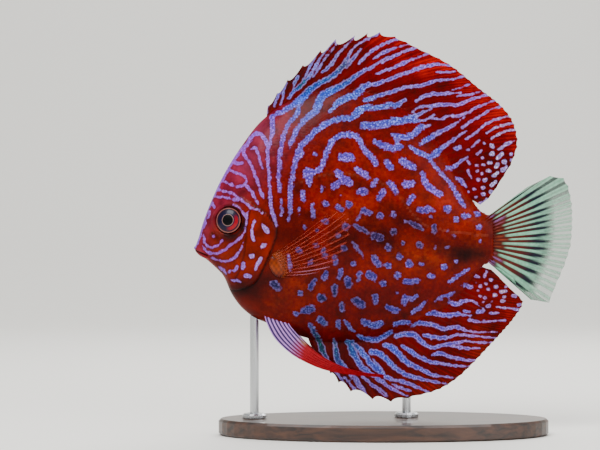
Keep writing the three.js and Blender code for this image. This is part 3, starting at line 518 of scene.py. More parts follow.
# %% Colour patches
# (pixel x, pixel y, reach across, reach down, colour, strength)
GROUND = "#A5240A"
# Most patches are the fish's own ground colour; the ones marked below are painted shade.
GROUND_AND_SHADE_PATCHES = [
    (330, 60, 150, 70, "#860507", 1), (440, 110, 90, 60, "#8A0606", 1), (300, 130, 40, 40, "#8A1210", 0.9),
    (308, 110, 26, 16, "#6A0505", 0.8), (272, 135, 24, 40, "#C23C62", 0.9), (243, 160, 24, 36, "#B4487C", 0.9),
    (222, 195, 18, 34, "#AC3460", 0.8), (203, 225, 12, 36, "#C25C8C", 0.8), (300, 180, 34, 60, "#8E0F08", 0.8),
    # painted shade: (285, 235) at the end of this line and (292, 222) on the next, just behind the gill cover's free
    # edge
    (355, 190, 60, 40, "#AC2A0C", 0.8), (420, 195, 60, 40, "#A51F0A", 0.8), (285, 235, 18, 22, "#3A0404", 0.9),
    (292, 222, 26, 16, "#5C0A06", 0.7), (330, 240, 46, 26, "#8E1F0A", 0.7), (300, 262, 34, 20, "#8C2608", 0.6),
    (240, 255, 34, 34, "#B23A10", 0.8), (255, 235, 16, 40, "#AE3410", 0.9), (218, 238, 16, 18, "#9E3A1C", 0.8),
    # painted shade: (252, 290) and (268, 282), under and behind the gill cover's free edge, and (229, 238), under the
    # eye
    (252, 290, 34, 14, "#1C0101", 1), (268, 282, 22, 14, "#3A0404", 0.9), (229, 238, 12, 6, "#4A0810", 0.85),
    # painted shade: (243, 226) and (235, 237), in the eye socket behind and below the eye
    (258, 127, 14, 14, "#BC5A86", 0.6), (243, 226, 5, 9, "#2C0408", 0.9), (235, 237, 9, 4, "#34060C", 0.8),
    (262, 312, 46, 16, "#8A2408", 0.9), (285, 303, 22, 14, "#A03A10", 0.8), (330, 300, 60, 40, "#7E0A06", 0.7),
    (378, 262, 70, 26, "#9A220A", 0.6), (385, 300, 40, 26, "#6A0604", 0.7), (425, 262, 30, 16, "#A83C12", 0.7),
    (460, 252, 34, 12, "#430503", 0.9), (470, 226, 26, 24, "#B2300C", 0.8), (478, 240, 12, 34, "#B03E12", 0.6),
    (490, 238, 9, 34, "#8E200A", 0.9), (360, 340, 60, 24, "#6A0505", 0.8), (310, 335, 40, 26, "#7A0805", 0.8),
    (385, 240, 24, 14, "#240202", 0.75), (463, 254, 24, 11, "#160101", 0.9), (345, 236, 20, 18, "#340503", 0.7),
    (405, 222, 30, 8, "#380503", 0.6), (430, 200, 24, 12, "#C03A10", 0.6), (352, 212, 26, 12, "#C24210", 0.6),
    (420, 256, 26, 10, "#C4460E", 0.6), (300, 285, 24, 14, "#B84010", 0.5), (392, 214, 30, 10, "#5C0A06", 0.6),
    (440, 236, 50, 8, "#6E1006", 0.5), (440, 290, 40, 20, "#8E0C06", 0.8),
]
MARK = "#8B8FD8"
MARK_PATCHES = [
    (300, 90, 70, 50, "#2E80E0", 0.9), (340, 80, 40, 34, "#2E98D2", 0.7), (385, 112, 70, 18, "#6CAAD8", 0.8),
    (430, 150, 40, 20, "#5E96DA", 0.8), (245, 170, 44, 60, "#A446B8", 0.9), (225, 235, 40, 50, "#A244AC", 0.9),
    (262, 248, 18, 42, "#E2D4F0", 0.9), (275, 150, 14, 50, "#A874D4", 0.8), (345, 185, 60, 34, "#9E84CC", 0.7),
    (425, 190, 60, 34, "#9E86D8", 0.7), (338, 237, 82, 38, "#38292E", 0.93), (405, 232, 60, 24, "#3E3139", 0.92),
    (365, 205, 40, 18, "#564E80", 0.7), (440, 240, 44, 20, "#5C4A48", 0.8), (275, 285, 16, 14, "#34424E", 0.9),
    (332, 297, 96, 34, "#1C2238", 0.93), (390, 330, 60, 16, "#54708C", 0.8), (320, 345, 30, 26, "#247050", 1),
    (347, 350, 20, 18, "#2A8468", 0.95), (390, 358, 44, 30, "#4A90DA", 0.9), (440, 350, 50, 44, "#6E86DC", 0.8),
]
GROUND_GAIN = (0.38, 0.2, 0.22)
MARK_GAIN = (0.76, 0.5, 0.84)


def airbrush(points_px, base, patches, gain):
    """Soft patches laid one after another over a base colour."""
    rgb = np.tile(np.array(linear(base)), (len(points_px), 1))
    for px, py, wide, tall, colour, strength in patches:
        fall = ((points_px[:, 0] - px) / wide) ** 2 + ((points_px[:, 1] - py) / tall) ** 2
        share = (strength * np.exp(-fall * 1.2))[:, None]
        rgb = rgb * (1 - share) + np.array(linear(colour)) * share
    return rgb * gain


print("patches:", len(GROUND_AND_SHADE_PATCHES), "ground,", len(MARK_PATCHES), "marks")

# %% [markdown]
# ## Paint on the body
# Marks and ground are stored on the mesh's points, and the folds round the gill cover, the mouth and
# the eye are darkened with painted shade, as shadow falls in them. On the coat of scales every scale leans a
# little to its own tone, which breaks up the flat colour as on the real fish.

# %% Paint the body
# Each fold's line of painted shade: (how much it darkens, width in mm)
COVER_LINE = (0.8, 0.75)
FOLD_LINE = (0.55, 0.4)
MOUTH_LINE = (0.8, 0.3)
ORBIT_LINE = (0.8, 0.9)
MOUTH_REAR = 5.4
ORBIT_AT = (EYE[0] + 0.5, EYE[1] - 0.2)
ORBIT_OUT = 0.5
ORBIT_FROM = EYE[0] - 2
DARKEST = 0.1
TONE_SWING = (0.3, 1.1, 0.3)
TONE_SEED = 3
PORE_SHARE = 0.55
PORE_WIDTH = 0.5
PORE_COLOUR = np.array(linear("#A04A34")) * 0.6
OWN_SHARE = 0.45
BODY_STROKES = HEAD_STROKES + FLANK_STRIPES + FLANK_SPOTS + BACK_FIN_STROKES + BELLY_FIN_STROKES


def bump(distance, size):
    height, width = size
    return height * hump(distance, width)


def fold_shade(flat):
    """Painted shade in the creases at x, z: 1 is unshaded, less is shade in a fold."""
    x, z = flat[:, 0], flat[:, 1]
    behind_cover, side = line_gap(flat, COVER_REAR)
    fold, _ = line_gap(flat, COVER_FOLD)
    unshaded = 1 - bump(behind_cover, COVER_LINE) * (side < 0) - bump(fold, FOLD_LINE)
    unshaded *= 1 - bump(mouth_height(x) - z, MOUTH_LINE) * (x < MOUTH_REAR)
    orbit = np.hypot(x - ORBIT_AT[0], z - ORBIT_AT[1])
    unshaded *= 1 - bump(orbit - EYE_RADIUS - ORBIT_OUT, ORBIT_LINE) * (x > ORBIT_FROM)
    return np.clip(unshaded, DARKEST, 1)[:, None]


def paint_body(mesh, each=0):
    """Stores the pattern, with painted shade in the folds, on a mesh. Where it is made of equal scales, each has that
    many points.
    """

    def level(values):
        return np.repeat(values.reshape(-1, each).mean(axis=1), each)

    p = photo_places(places(mesh))
    flat = places(mesh)[:, [0, 2]]
    marks = edge_distance(p, BODY_STROKES)
    off_line, _ = line_gap(flat, LATERAL_LINE)
    tone = np.full(len(p), 0.5)
    if each:
        marks = OWN_SHARE * marks + (1 - OWN_SHARE) * level(marks)
        off_line = level(off_line)
        tone = np.repeat(np.random.default_rng(TONE_SEED).random(len(p) // each), each)
    # painted shade in the folds, times each scale's own tone
    shade = fold_shade(flat) * (1 + (tone[:, None] - 0.5) * TONE_SWING)
    pore = (PORE_SHARE * np.exp(-((off_line / PORE_WIDTH) ** 4)))[:, None]
    ground = airbrush(p, GROUND, GROUND_AND_SHADE_PATCHES, GROUND_GAIN) * shade
    put_floats(mesh, "mark_edge", marks)
    put_floats(mesh, "tone", tone)
    put_colours(mesh, "ground", ground * (1 - pore) + PORE_COLOUR * pore)
    put_colours(mesh, "mark", airbrush(p, MARK, MARK_PATCHES, MARK_GAIN))


print("the body carries", len(BODY_STROKES), "strokes")

# %% [markdown]
# ## Skin
# The skin is one closed grid from snout to tail root, with no seam between head, body and stalk.
# Its relief is small: lips either side of the mouth, a pit for the nostril, a raised rim round the eye,
# and the gill cover, which lies flush in front and stands free behind. Each is a soft bump along
# the skin's own normal, so it is cheaper and smoother than a separate shell would be.

# %% Relief of the skin
# Each form: (height or depth, width), in mm
COVER_SWELL = (0.95, 7.0)
COVER_DROP = (0.35, 0.8)
FOLD_GROOVE = (0.28, 0.6)
EYE_RIM = (0.75, 0.75)
NOSTRIL_RIM = (0.22, 0.35)
NOSTRIL_PIT = (0.7, 0.5)
LIP = (0.62, 0.6)
MOUTH_SLIT = (0.85, 0.26)
# Where a form begins, and over what length it comes in, in mm
COVER_EASE = (12, 14)
MOUTH_EASE = (6.2, 1.6)
SOCKET_WALL = (0.1, 0.7)
COVER_ROLL = 0.35
EYE_RIM_OUT = 0.75
SOCKET_DEPTH = 2.8
NOSTRIL_RADIUS = 0.85
LIP_OFF_SLIT = 0.95


def relief(p):
    """How far the skin stands out of the plain body, in mm, at x, z."""
    x, z = p[:, 0], p[:, 1]
    gap, side = line_gap(p, COVER_REAR)
    on_cover = side > 0
    swell = np.clip((x - COVER_EASE[0]) / COVER_EASE[1], 0, 1) * np.clip(gap / COVER_ROLL, 0, 1) ** 0.5
    out = np.where(on_cover, swell * bump(gap, COVER_SWELL), -bump(gap, COVER_DROP))
    fold, _ = line_gap(p, COVER_FOLD)
    out -= bump(fold, FOLD_GROOVE)
    eye = np.hypot(x - EYE[0], z - EYE[1])
    out += bump(eye - EYE_RADIUS - EYE_RIM_OUT, EYE_RIM)
    out -= SOCKET_DEPTH * np.clip((EYE_RADIUS + SOCKET_WALL[0] - eye) / SOCKET_WALL[1], 0, 1)
    pit = np.hypot(x - NOSTRIL[0], z - NOSTRIL[1])
    out += bump(pit - NOSTRIL_RADIUS, NOSTRIL_RIM) - bump(pit, NOSTRIL_PIT)
    mouth = z - mouth_height(x)
    near_mouth = np.clip((MOUTH_EASE[0] - x) / MOUTH_EASE[1], 0, 1)
    return out + near_mouth * (bump(np.abs(mouth) - LIP_OFF_SLIT, LIP) - bump(mouth, MOUTH_SLIT))


print("relief at mid flank", round(float(relief(np.array([[60.0, 7.0]]))[0]), 3), "mm")

# %% Skin grid
AROUND = 300
STATIONS = 260
HEAD_STATIONS = 110
HEAD_BACK = 36.0
HEAD_CROWDING = 1.3


def body_grid():
    """Rings of points, closer together on the head, where the relief is finest."""
    head = HEAD_BACK * (np.arange(HEAD_STATIONS) / HEAD_STATIONS) ** HEAD_CROWDING
    xs = np.concatenate([head, np.linspace(HEAD_BACK, BODY_END - 0.05, STATIONS - HEAD_STATIONS)])
    x = np.repeat(xs[:, None], AROUND, axis=1)
    turn = 2 * np.pi * np.arange(AROUND) / AROUND
    y, z = round_slice(x, turn)
    return np.stack([x, np.sign(np.sin(turn)) * y, z], axis=2)


def grid_normals(grid):
    """The outward direction at every point of a stack of rings."""
    down = np.gradient(grid, axis=0)
    wrapped = np.concatenate([grid[:, -1:], grid, grid[:, :1]], axis=1)
    across = (wrapped[:, 2:] - wrapped[:, :-2]) / 2
    normal = np.cross(across, down)
    normal /= np.maximum(np.linalg.norm(normal, axis=2, keepdims=True), 1e-9)
    outwards = np.sign((normal * (grid - grid.mean(axis=1, keepdims=True))).sum(axis=2, keepdims=True))
    return normal * np.where(outwards == 0, 1, outwards)


def tube_faces(rings, around):
    """Quads along a stack of closed rings, and a fan on each end's middle point."""
    i, j = np.meshgrid(np.arange(rings - 1), np.arange(around), indexing="ij")
    a = i * around + j
    b = i * around + (j + 1) % around
    quads = np.stack([a, b, b + around, a + around], axis=2).reshape(-1, 4).tolist()
    first, last = rings * around, rings * around + 1
    k = np.arange(around)
    low = np.column_stack([np.full(around, first), (k + 1) % around, k]).tolist()
    top = (rings - 1) * around
    high = np.column_stack([np.full(around, last), top + k, top + (k + 1) % around]).tolist()
    return quads + low + high


grid = body_grid()
print("grid of", grid.shape[0], "rings with", grid.shape[1], "points each")

# %% [markdown]
# The relief fades where the skin turns edge-on at the back and belly, or it would fray the outline.
# The whole skin lies a hair inside the plain solid, the lips stay inside its reach, and the stalk
# narrows towards the tail, so that it hands over to the fin.

# %% Skin
UNDER_PLAIN_SOLID = 0.12
SNOUT_TIP = 6
EDGE_ON_FADE = 1.6
LIP_LIMIT = -0.3
STALK_TAPER = 6.0
STALK_THINNING = 0.6
normals = grid_normals(grid)
lift = relief(grid.reshape(-1, 3)[:, [0, 2]]).reshape(grid.shape[:2])
facing = np.clip(np.abs(normals[:, :, 1]) * EDGE_ON_FADE, 0, 1)
lift = np.where(grid[:, :, 0] > SNOUT_TIP, lift * facing, lift)
skin_grid = grid + normals * (lift - UNDER_PLAIN_SOLID)[:, :, None]
skin_grid[:, :, 0] = np.maximum(skin_grid[:, :, 0], LIP_LIMIT)
near_tail = np.clip((skin_grid[:, :, 0] - (BODY_END - STALK_TAPER)) / STALK_TAPER, 0, 1)
skin_grid[:, :, 1] *= 1 - STALK_THINNING * near_tail**2
ends = np.array([skin_grid[0].mean(axis=0) - (0.05, 0, 0), skin_grid[-1].mean(axis=0)])
skin = add_mesh("skin", np.vstack([skin_grid.reshape(-1, 3), ends]), tube_faces(*grid.shape[:2]))
bpy.context.view_layer.objects.active = skin
skin.select_set(True)
bpy.ops.object.mode_set(mode="EDIT")
bpy.ops.mesh.select_all(action="SELECT")
bpy.ops.mesh.normals_make_consistent(inside=False)
bpy.ops.object.mode_set(mode="OBJECT")
skin.select_set(False)
paint_body(skin.data)
print("skin relief", round(float(lift.min()), 2), "to", round(float(lift.max()), 2), "mm")

# %% [markdown]
# ## Skin material
# Discus skin is wet and smooth, with the paint in it rather than on it. Under broad studio light a
# strong gloss would veil its colours, so the highlight is low, the roughness middling and the clear
# coat thin. The marks are drawn from the stored edge distance: a narrow step keeps the edge sharp, and
# a noise as wide as a scale lets it wander. Inside a mark guanine crystals sit under each scale, so
# it is speckled light and dark at the size of a scale.

# %% Skin material
# Patterns per metre: 1250 is a crystal speck of 0.8 mm, 520 a wander of 2 mm, 140 a mottle of 7 mm.
SPECKLE_SCALE = 1250.0
WANDER_SCALE = 520.0
MOTTLE_SCALE = 140.0
# How far an edge wanders, in pixels, and what brings its middle back to the stroke's own edge.
WANDER = 4.4
WANDER_MIDDLE = -2.3
WET_SKIN = {"Specular_IOR_Level": 0.07, "IOR": 1.36, "Coat_Weight": 0.06, "Coat_Roughness": 0.12}
FLESH = {"Subsurface_Weight": 0.06, "Subsurface_Radius": (0.002, 0.0008, 0.0005), "Subsurface_Scale": 1.0}
RIM_COLOUR = (*linear("#2A0104"), 1)
OUTLINE_COLOUR = (*linear("#9A80C4"), 1)
MARK_SHADE = (0.16, 0.12, 0.4)
MARK_LIGHT = 1.7


def crystals(tree, cells, speckle, by_facet):
    """Where a mark is light: each scale's free end and its own tone, or plain specks on bare skin."""
    apart = cells.outputs["Distance"]
    if not by_facet:
        return add_node(tree, "ShaderNodeMapRange", Value=apart, From_Min=0.12, From_Max=0.5,
                        To_Min=1.0, To_Max=1.0 - speckle)
    facet = add_node(tree, "ShaderNodeAttribute", {"attribute_name": "facet"})
    tone = add_node(tree, "ShaderNodeAttribute", {"attribute_name": "tone"})
    lifted = add_node(tree, "ShaderNodeMath", MULTIPLY_ADD, _0=tone.outputs["Fac"], _1=1.1, _2=facet.outputs["Fac"])
    shine = add_node(tree, "ShaderNodeMapRange", SOFT_STEP, Value=lifted.outputs[0], From_Min=0.5, From_Max=1.4,
                     To_Min=0.3, To_Max=1.0)
    between = add_node(tree, "ShaderNodeMapRange", Value=apart, From_Min=0.2, From_Max=0.6,
                       To_Min=1.0, To_Max=1.0 - speckle)
    return add_node(tree, "ShaderNodeMath", MULTIPLY, _0=shine.outputs[0], _1=between.outputs[0])


def painted_skin(name, speckle, roughness, by_facet=False, outline=0.22):
    """Wet painted skin: ground and marks from the stored colours, edges from the stored distance."""
    material, tree, shader = new_material(name, Roughness=roughness, **WET_SKIN, **FLESH)
    ground = add_node(tree, "ShaderNodeAttribute", {"attribute_name": "ground"})
    mark = add_node(tree, "ShaderNodeAttribute", {"attribute_name": "mark"})
    edge = add_node(tree, "ShaderNodeAttribute", {"attribute_name": "mark_edge"})
    where = add_node(tree, "ShaderNodeTexCoord").outputs["Object"]
    wander = add_node(tree, "ShaderNodeTexNoise", Vector=where, Scale=WANDER_SCALE, Detail=2.0)
    drift = add_node(tree, "ShaderNodeMath", MULTIPLY_ADD, _0=wander.outputs["Fac"], _1=WANDER, _2=WANDER_MIDDLE)
    moved = add_node(tree, "ShaderNodeMath", {"operation": "ADD"}, _0=edge.outputs["Fac"], _1=drift.outputs[0])
    inside = moved.outputs[0]
    share = add_node(tree, "ShaderNodeMapRange", SOFT_STEP, Value=inside, From_Min=-0.55, From_Max=0.55)
    rim = add_node(tree, "ShaderNodeMapRange", SOFT_STEP, Value=inside, From_Min=-2.6, From_Max=-0.2, To_Max=0.3)
    band = add_node(tree, "ShaderNodeMapRange", SOFT_STEP, Value=inside, From_Min=0.3, From_Max=1.5,
                    To_Min=outline, To_Max=0.0)
    mottle = add_node(tree, "ShaderNodeTexNoise", Vector=where, Scale=MOTTLE_SCALE, Detail=6.0, Roughness=0.6)
    shade = add_node(tree, "ShaderNodeMapRange", Value=mottle.outputs["Fac"], From_Min=0.3, From_Max=0.7,
                     To_Min=0.45, To_Max=1.45)
    shaded = add_node(tree, "ShaderNodeVectorMath", SCALE, _0=ground.outputs["Color"], Scale=shade.outputs[0])
    rimmed = add_node(tree, "ShaderNodeMix", MIX_COLOUR, _0=rim.outputs[0], _6=shaded.outputs[0], _7=RIM_COLOUR)
    cells = add_node(tree, "ShaderNodeTexVoronoi", Vector=where, Scale=SPECKLE_SCALE)
    dots = crystals(tree, cells, speckle, by_facet)
    dark = add_node(tree, "ShaderNodeVectorMath", MULTIPLY, _0=mark.outputs["Color"], _1=MARK_SHADE)
    light = add_node(tree, "ShaderNodeVectorMath", SCALE, _0=mark.outputs["Color"], Scale=MARK_LIGHT)
    dotted = add_node(tree, "ShaderNodeMix", MIX_COLOUR, _0=dots.outputs[0], _6=dark.outputs[0], _7=light.outputs[0])
    edged = add_node(tree, "ShaderNodeMix", MIX_COLOUR, _0=band.outputs[0], _6=dotted.outputs[2], _7=OUTLINE_COLOUR)
    colour = add_node(tree, "ShaderNodeMix", MIX_COLOUR, _0=share.outputs[0], _6=rimmed.outputs[2],
                      _7=edged.outputs[2])
    fine = add_node(tree, "ShaderNodeBump", Strength=0.2, Distance=0.0002, Height=cells.outputs["Distance"])
    tree.links.new(colour.outputs[2], shader.inputs["Base Color"])
    tree.links.new(fine.outputs[0], shader.inputs["Normal"])
    return material


MAP_START = (0.02, 0.03)
MAP_SIZE = (0.46, 0.94)
MAP_LOW = 41
MAP_TALL = 110


def skin_map(points):
    """An unwrap of the skin's own shape: how far back, and how far up, with the far side apart."""
    x, z = points[:, 0], points[:, 2]
    u = MAP_START[0] + MAP_SIZE[0] * x / BODY_END
    v = MAP_START[1] + MAP_SIZE[1] * (z + MAP_LOW) / MAP_TALL
    return np.column_stack([np.where(points[:, 1] > 0, u + 0.5, u), v])


skin.data.materials.append(painted_skin("discus skin", speckle=0.7, roughness=0.42))
put_map(skin.data, skin_map(places(skin.data)))
keep(skin, "body_skin", "head", "torso", "tail_stalk", "gill_cover_left", "gill_cover_right")

# %% [markdown]
# ## Scales
# A discus has small scales in rows that run back and down. They could be a bump map, but at the edge
# of the light real ones glint one by one. So each is a small closed shield, its front sunk in
# the skin and its rear edge free, and Geometry Nodes sets one on every place of a staggered lattice
# that is paced out along the skin itself, so they never bunch up where the flank turns in. The pitch
# is about a third coarser than a real fish's, so that the rows show in the render.

# %% Scale places
PITCH = 1.22
ROW_PITCH = 0.87
SCALE_FROM = 27.0
SCALE_TO = 126.6
SECTION_STEPS = 400
# Where the scales begin, as (height, distance back): the forehead and the cheeks are bare.
HEAD_LINE = [(-36, 27), (-17, 27), (-9, 30.5), (2, 34.5), (8, 36), (14, 33.5), (20, 29), (40, 28.5), (70, 27.5)]
BARE_COVER = 6
GROWS_OVER = 6
TOO_EDGE_ON = 0.16
SLOPE_STEP = 0.3
DOWNWARD = -0.12


def unit(vectors):
    return vectors / np.linalg.norm(vectors, axis=1, keepdims=True)


def lattice():
    """Staggered columns of places round one side, a pitch apart along the skin."""
    turn = np.linspace(0.02, np.pi - 0.02, SECTION_STEPS)
    roots = []
    for number, x in enumerate(np.arange(SCALE_FROM, SCALE_TO, PITCH * ROW_PITCH)):
        y, z = round_slice(x, turn)
        paced = np.concatenate([[0], np.cumsum(np.hypot(np.diff(y), np.diff(z)))])
        wanted = np.arange(PITCH * (0.5 + 0.5 * (number % 2)), paced[-1] - PITCH * 0.4, PITCH)
        y, z = np.interp(wanted, paced, y), np.interp(wanted, paced, z)
        roots.append(np.column_stack([np.full(len(wanted), x), y, z]))
    return np.vstack(roots)


def scale_places(side):
    """Places, outward directions, backward directions and sizes of all scales on one side."""
    roots = lattice()
    x, z = roots[:, 0], roots[:, 2]
    slope_x = (flank(x + SLOPE_STEP, z) - flank(x - SLOPE_STEP, z)) / (2 * SLOPE_STEP)
    slope_z = (flank(x, z + SLOPE_STEP) - flank(x, z - SLOPE_STEP)) / (2 * SLOPE_STEP)
    outward = unit(np.column_stack([-slope_x, np.ones(len(x)), -slope_z]))
    cover_gap, cover_side = line_gap(roots[:, [0, 2]], COVER_REAR)
    behind_head = x - smooth_line(HEAD_LINE)(z)
    free = (behind_head > 0) & ~((cover_side > 0) & (cover_gap < BARE_COVER)) & (outward[:, 1] > TOO_EDGE_ON)
    roots, outward = roots[free], outward[free]
    flat_on = np.clip(np.abs(outward[:, 1]) * EDGE_ON_FADE, 0.55, 1)
    size = flat_on * np.clip(behind_head[free] / GROWS_OVER, 0.5, 1)
    roots[:, 1] -= UNDER_PLAIN_SOLID
    roots[:, 1] *= side
    outward[:, 1] *= side
    backward = np.tile((1.0, 0.0, DOWNWARD), (len(roots), 1))
    backward -= (backward * outward).sum(axis=1, keepdims=True) * outward
    return roots, outward, unit(backward), size


left_places = scale_places(-1)
right_places = scale_places(1)
print("scales:", len(left_places[0]), "left,", len(right_places[0]), "right")

# %% [markdown]
# One scale is a heptagon with a point above and one below: few enough faces to repeat thousands of
# times, and flat shaded, so that each facet catches the light by itself.

# %% One scale
SCALE_LENGTH = 1.8
SCALE_WIDTH = 1.46
SCALE_LIFT = 0.055
SCALE_SUNK = 0.16
SCALE_RIM = 7


def one_scale():
    """A shield: flat under, domed above, tipped so that its rear edge stands free."""
    k = np.arange(SCALE_RIM)
    after = (k + 1) % SCALE_RIM
    turn = 2 * np.pi * k / SCALE_RIM
    rim = np.column_stack([SCALE_LENGTH / 2 * np.cos(turn), SCALE_WIDTH / 2 * np.sin(turn), np.zeros(SCALE_RIM)])
    rim[:, 2] = SCALE_LIFT * (0.35 + rim[:, 0] / SCALE_LENGTH)
    top = (0.1, 0, SCALE_LIFT * 0.85)
    under = (0.1, 0, -SCALE_SUNK)
    faces = np.vstack([
        np.column_stack([np.full(SCALE_RIM, SCALE_RIM), k, after]),
        np.column_stack([np.full(SCALE_RIM, SCALE_RIM + 1), after, k]),
    ])
    mesh = bpy.data.meshes.new("one_scale")
    mesh.from_pydata((np.vstack([rim, top, under]) * MM).tolist(), [], faces.tolist())
    return bpy.data.objects.new("one_scale", mesh)


scale_shape = one_scale()
print("one scale has", len(scale_shape.data.polygons), "faces")

# %% [markdown]
# The tree reads each place's stored turn and size, adds a small seeded tilt, sets a shield on it,
# and ends in real faces with the material set, so nothing is left to work out later.

# %% Scatter tree
def scatter_tree():
    tree = bpy.data.node_groups.new("set scales on places", "GeometryNodeTree")
    tree.interface.new_socket("Geometry", in_out="INPUT", socket_type="NodeSocketGeometry")
    sockets = {}
    for name, kind in (("Shield", "Object"), ("Tilt", "Float"), ("Seed", "Int"), ("Material", "Material")):
        socket = tree.interface.new_socket(name, in_out="INPUT", socket_type="NodeSocket" + kind)
        sockets[name] = socket.identifier
    tree.interface.new_socket("Geometry", in_out="OUTPUT", socket_type="NodeSocketGeometry")
    given = add_node(tree, "NodeGroupInput").outputs
    turn = add_node(tree, "GeometryNodeInputNamedAttribute", {"data_type": "FLOAT_VECTOR"}, Name="turn")
    size = add_node(tree, "GeometryNodeInputNamedAttribute", {"data_type": "FLOAT"}, Name="size")
    shield = add_node(tree, "GeometryNodeObjectInfo", Object=given["Shield"])
    least = add_node(tree, "ShaderNodeMath", MULTIPLY, _0=given["Tilt"], _1=-1.0)
    low = add_node(tree, "ShaderNodeCombineXYZ", X=least.outputs[0], Y=least.outputs[0])
    high = add_node(tree, "ShaderNodeCombineXYZ", X=given["Tilt"], Y=given["Tilt"])
    chance = add_node(tree, "FunctionNodeRandomValue", {"data_type": "FLOAT_VECTOR"}, _0=low.outputs[0],
                      _1=high.outputs[0], Seed=given["Seed"])
    tilted = add_node(tree, "ShaderNodeVectorMath", {"operation": "ADD"}, _0=turn.outputs[0], _1=chance.outputs[0])
    set_on = add_node(tree, "GeometryNodeInstanceOnPoints", Points=given["Geometry"],
                      Instance=shield.outputs["Geometry"], Rotation=tilted.outputs[0], Scale=size.outputs[0])
    real = add_node(tree, "GeometryNodeRealizeInstances", Geometry=set_on.outputs[0])
    dressed = add_node(tree, "GeometryNodeSetMaterial", Geometry=real.outputs[0], Material=given["Material"])
    add_node(tree, "NodeGroupOutput", Geometry=dressed.outputs[0])
    return tree, sockets


scatter, scatter_inputs = scatter_tree()
print("scatter tree has", len(scatter.nodes), "nodes")

# %% [markdown]
# Two coats of scales, one for each side, share the skin's paint. Each scale also gets a small patch
# of the map at its root's own place, so that a baked picture never mixes two scales.

# %% Coats of scales
TILT = 0.035
SCALE_SEED = 7
PATCH = 0.003
scale_material = painted_skin("scale sheen", speckle=0.9, roughness=0.42, by_facet=True)


def turns(outward, backward):
    """The Euler turn that brings a shield's +X backward and its +Z outward."""
    frames = np.stack([backward, np.cross(outward, backward), outward], axis=2)
    return np.array([Matrix(m.tolist()).to_euler("XYZ") for m in frames])


def coat(name, roots, outward, backward, size):
    """Sets shields on the places, and keeps the result as a plain mesh with its own map."""
    base = bpy.data.meshes.new(name + "_places")
    base.from_pydata(to_row(roots).tolist(), [], [])
    layer = base.attributes.new("turn", "FLOAT_VECTOR", "POINT")
    layer.data.foreach_set("vector", turns(outward, backward).astype(np.float32).ravel())
    put_floats(base, "size", size)
    holder = put_in_scene(name + "_places", base)
    live = holder.modifiers.new("scatter", "NODES")
    live.node_group = scatter
    for given, value in (("Shield", scale_shape), ("Tilt", TILT), ("Seed", SCALE_SEED), ("Material", scale_material)):
        live[scatter_inputs[given]] = value
    ready = holder.evaluated_get(bpy.context.evaluated_depsgraph_get())
    mesh = bpy.data.meshes.new_from_object(ready)
    bpy.data.objects.remove(holder)
    mesh.name = name
    for used in ("turn", "size"):
        if used in mesh.attributes:
            mesh.attributes.remove(mesh.attributes[used])
    mesh.polygons.foreach_set("use_smooth", [False] * len(mesh.polygons))
    each = SCALE_RIM + 2
    paint_body(mesh, each)
    put_floats(mesh, "facet", np.tile([0.0] * SCALE_RIM + [1.0, 0.0], len(roots)))
    corners = np.array([v.co[:2] for v in scale_shape.data.vertices]) * MM_PER_METRE / SCALE_LENGTH * PATCH
    put_map(mesh, np.repeat(skin_map(roots), each, axis=0) + np.tile(corners, (len(roots), 1)))
    keep(put_in_scene(name, mesh), "body_skin")


coat("scales_left", *left_places)
coat("scales_right", *right_places)
bpy.data.objects.remove(scale_shape)

# %% [markdown]
# ## Fins
# Every fin is one closed sheet over a grid of columns and rows. Columns run out along the rays, with
# several to each ray so that it stands up as a rounded, jointed rib; between two rays the sheet is
# thin, and at its root it thickens into the body. The outline is a line of ray tips read off the
# photograph, and behind each spine the web's edge falls back in a notch.

# %% Curves of a fin
ROOT_STEPS = 60
CURVE_STEPS = 200
SUNK = 3.0


def steady(value):
    """The same value at every share."""
    return lambda share: value + 0 * share


def tip_line(knots):
    """A smooth line of places over shares, from knots (share, x, z)."""
    x = smooth_line([(s, u) for s, u, _ in knots])
    z = smooth_line([(s, v) for s, _, v in knots])
    return lambda share: np.stack([x(share), z(share)], axis=-1)


def along(knots):
    """A place for each share of a curve's length."""
    line = spline(knots, CURVE_STEPS)
    paced = np.concatenate([[0], np.cumsum(np.linalg.norm(np.diff(line, axis=0), axis=1))])
    paced /= paced[-1]
    return lambda share: np.stack([np.interp(share, paced, line[:, 0]), np.interp(share, paced, line[:, 1])], axis=-1)


def edge_root(edge, start, end):
    """A root along the back or the belly, sunk into the body."""
    xs = np.linspace(start, end, ROOT_STEPS)
    line = np.column_stack([xs, edge(xs)])
    course = unit(np.gradient(line, axis=0))
    inward = -1 if edge is back else 1
    return along(line + SUNK * inward * np.column_stack([-course[:, 1], course[:, 0]]))


back_root = edge_root(back, 28.8, 116.2)
belly_root = edge_root(belly, 46.6, 121.6)
print("the back fin's root starts at", back_root(0.0).round(1), "and the belly fin's at", belly_root(0.0).round(1))

# %% [markdown]
# Each rib is a soft ridge on both faces of the sheet. From almost half way out a branched ray parts
# into two ridges, and fine notches across it are the joints of its bony segments.

# %% Fin sheet
SUB = 8
WEB_HALF = 0.13
JOINTS = 26
JOINT_DEPTH = 0.12
BRANCH_FROM = 0.45
BRANCH_OVER = 0.25
BRANCH_OFF = 0.22
BRANCH_WIDTH = 0.11


def sheet_faces(columns, rows):
    """Quads on both faces and round the border of a grid of columns by rows."""
    per = columns * rows
    at = np.arange(per).reshape(columns, rows)
    near = np.stack([at[:-1, :-1], at[1:, :-1], at[1:, 1:], at[:-1, 1:]], axis=2).reshape(-1, 4)
    far = near[:, ::-1] + per
    ring = np.concatenate([at[:, 0], at[-1, 1:], at[::-1, -1][1:], at[0, ::-1][1:-1]])
    after = np.roll(ring, -1)
    border = np.column_stack([after, ring, ring + per, after + per])
    return np.vstack([near, far, border]).tolist()


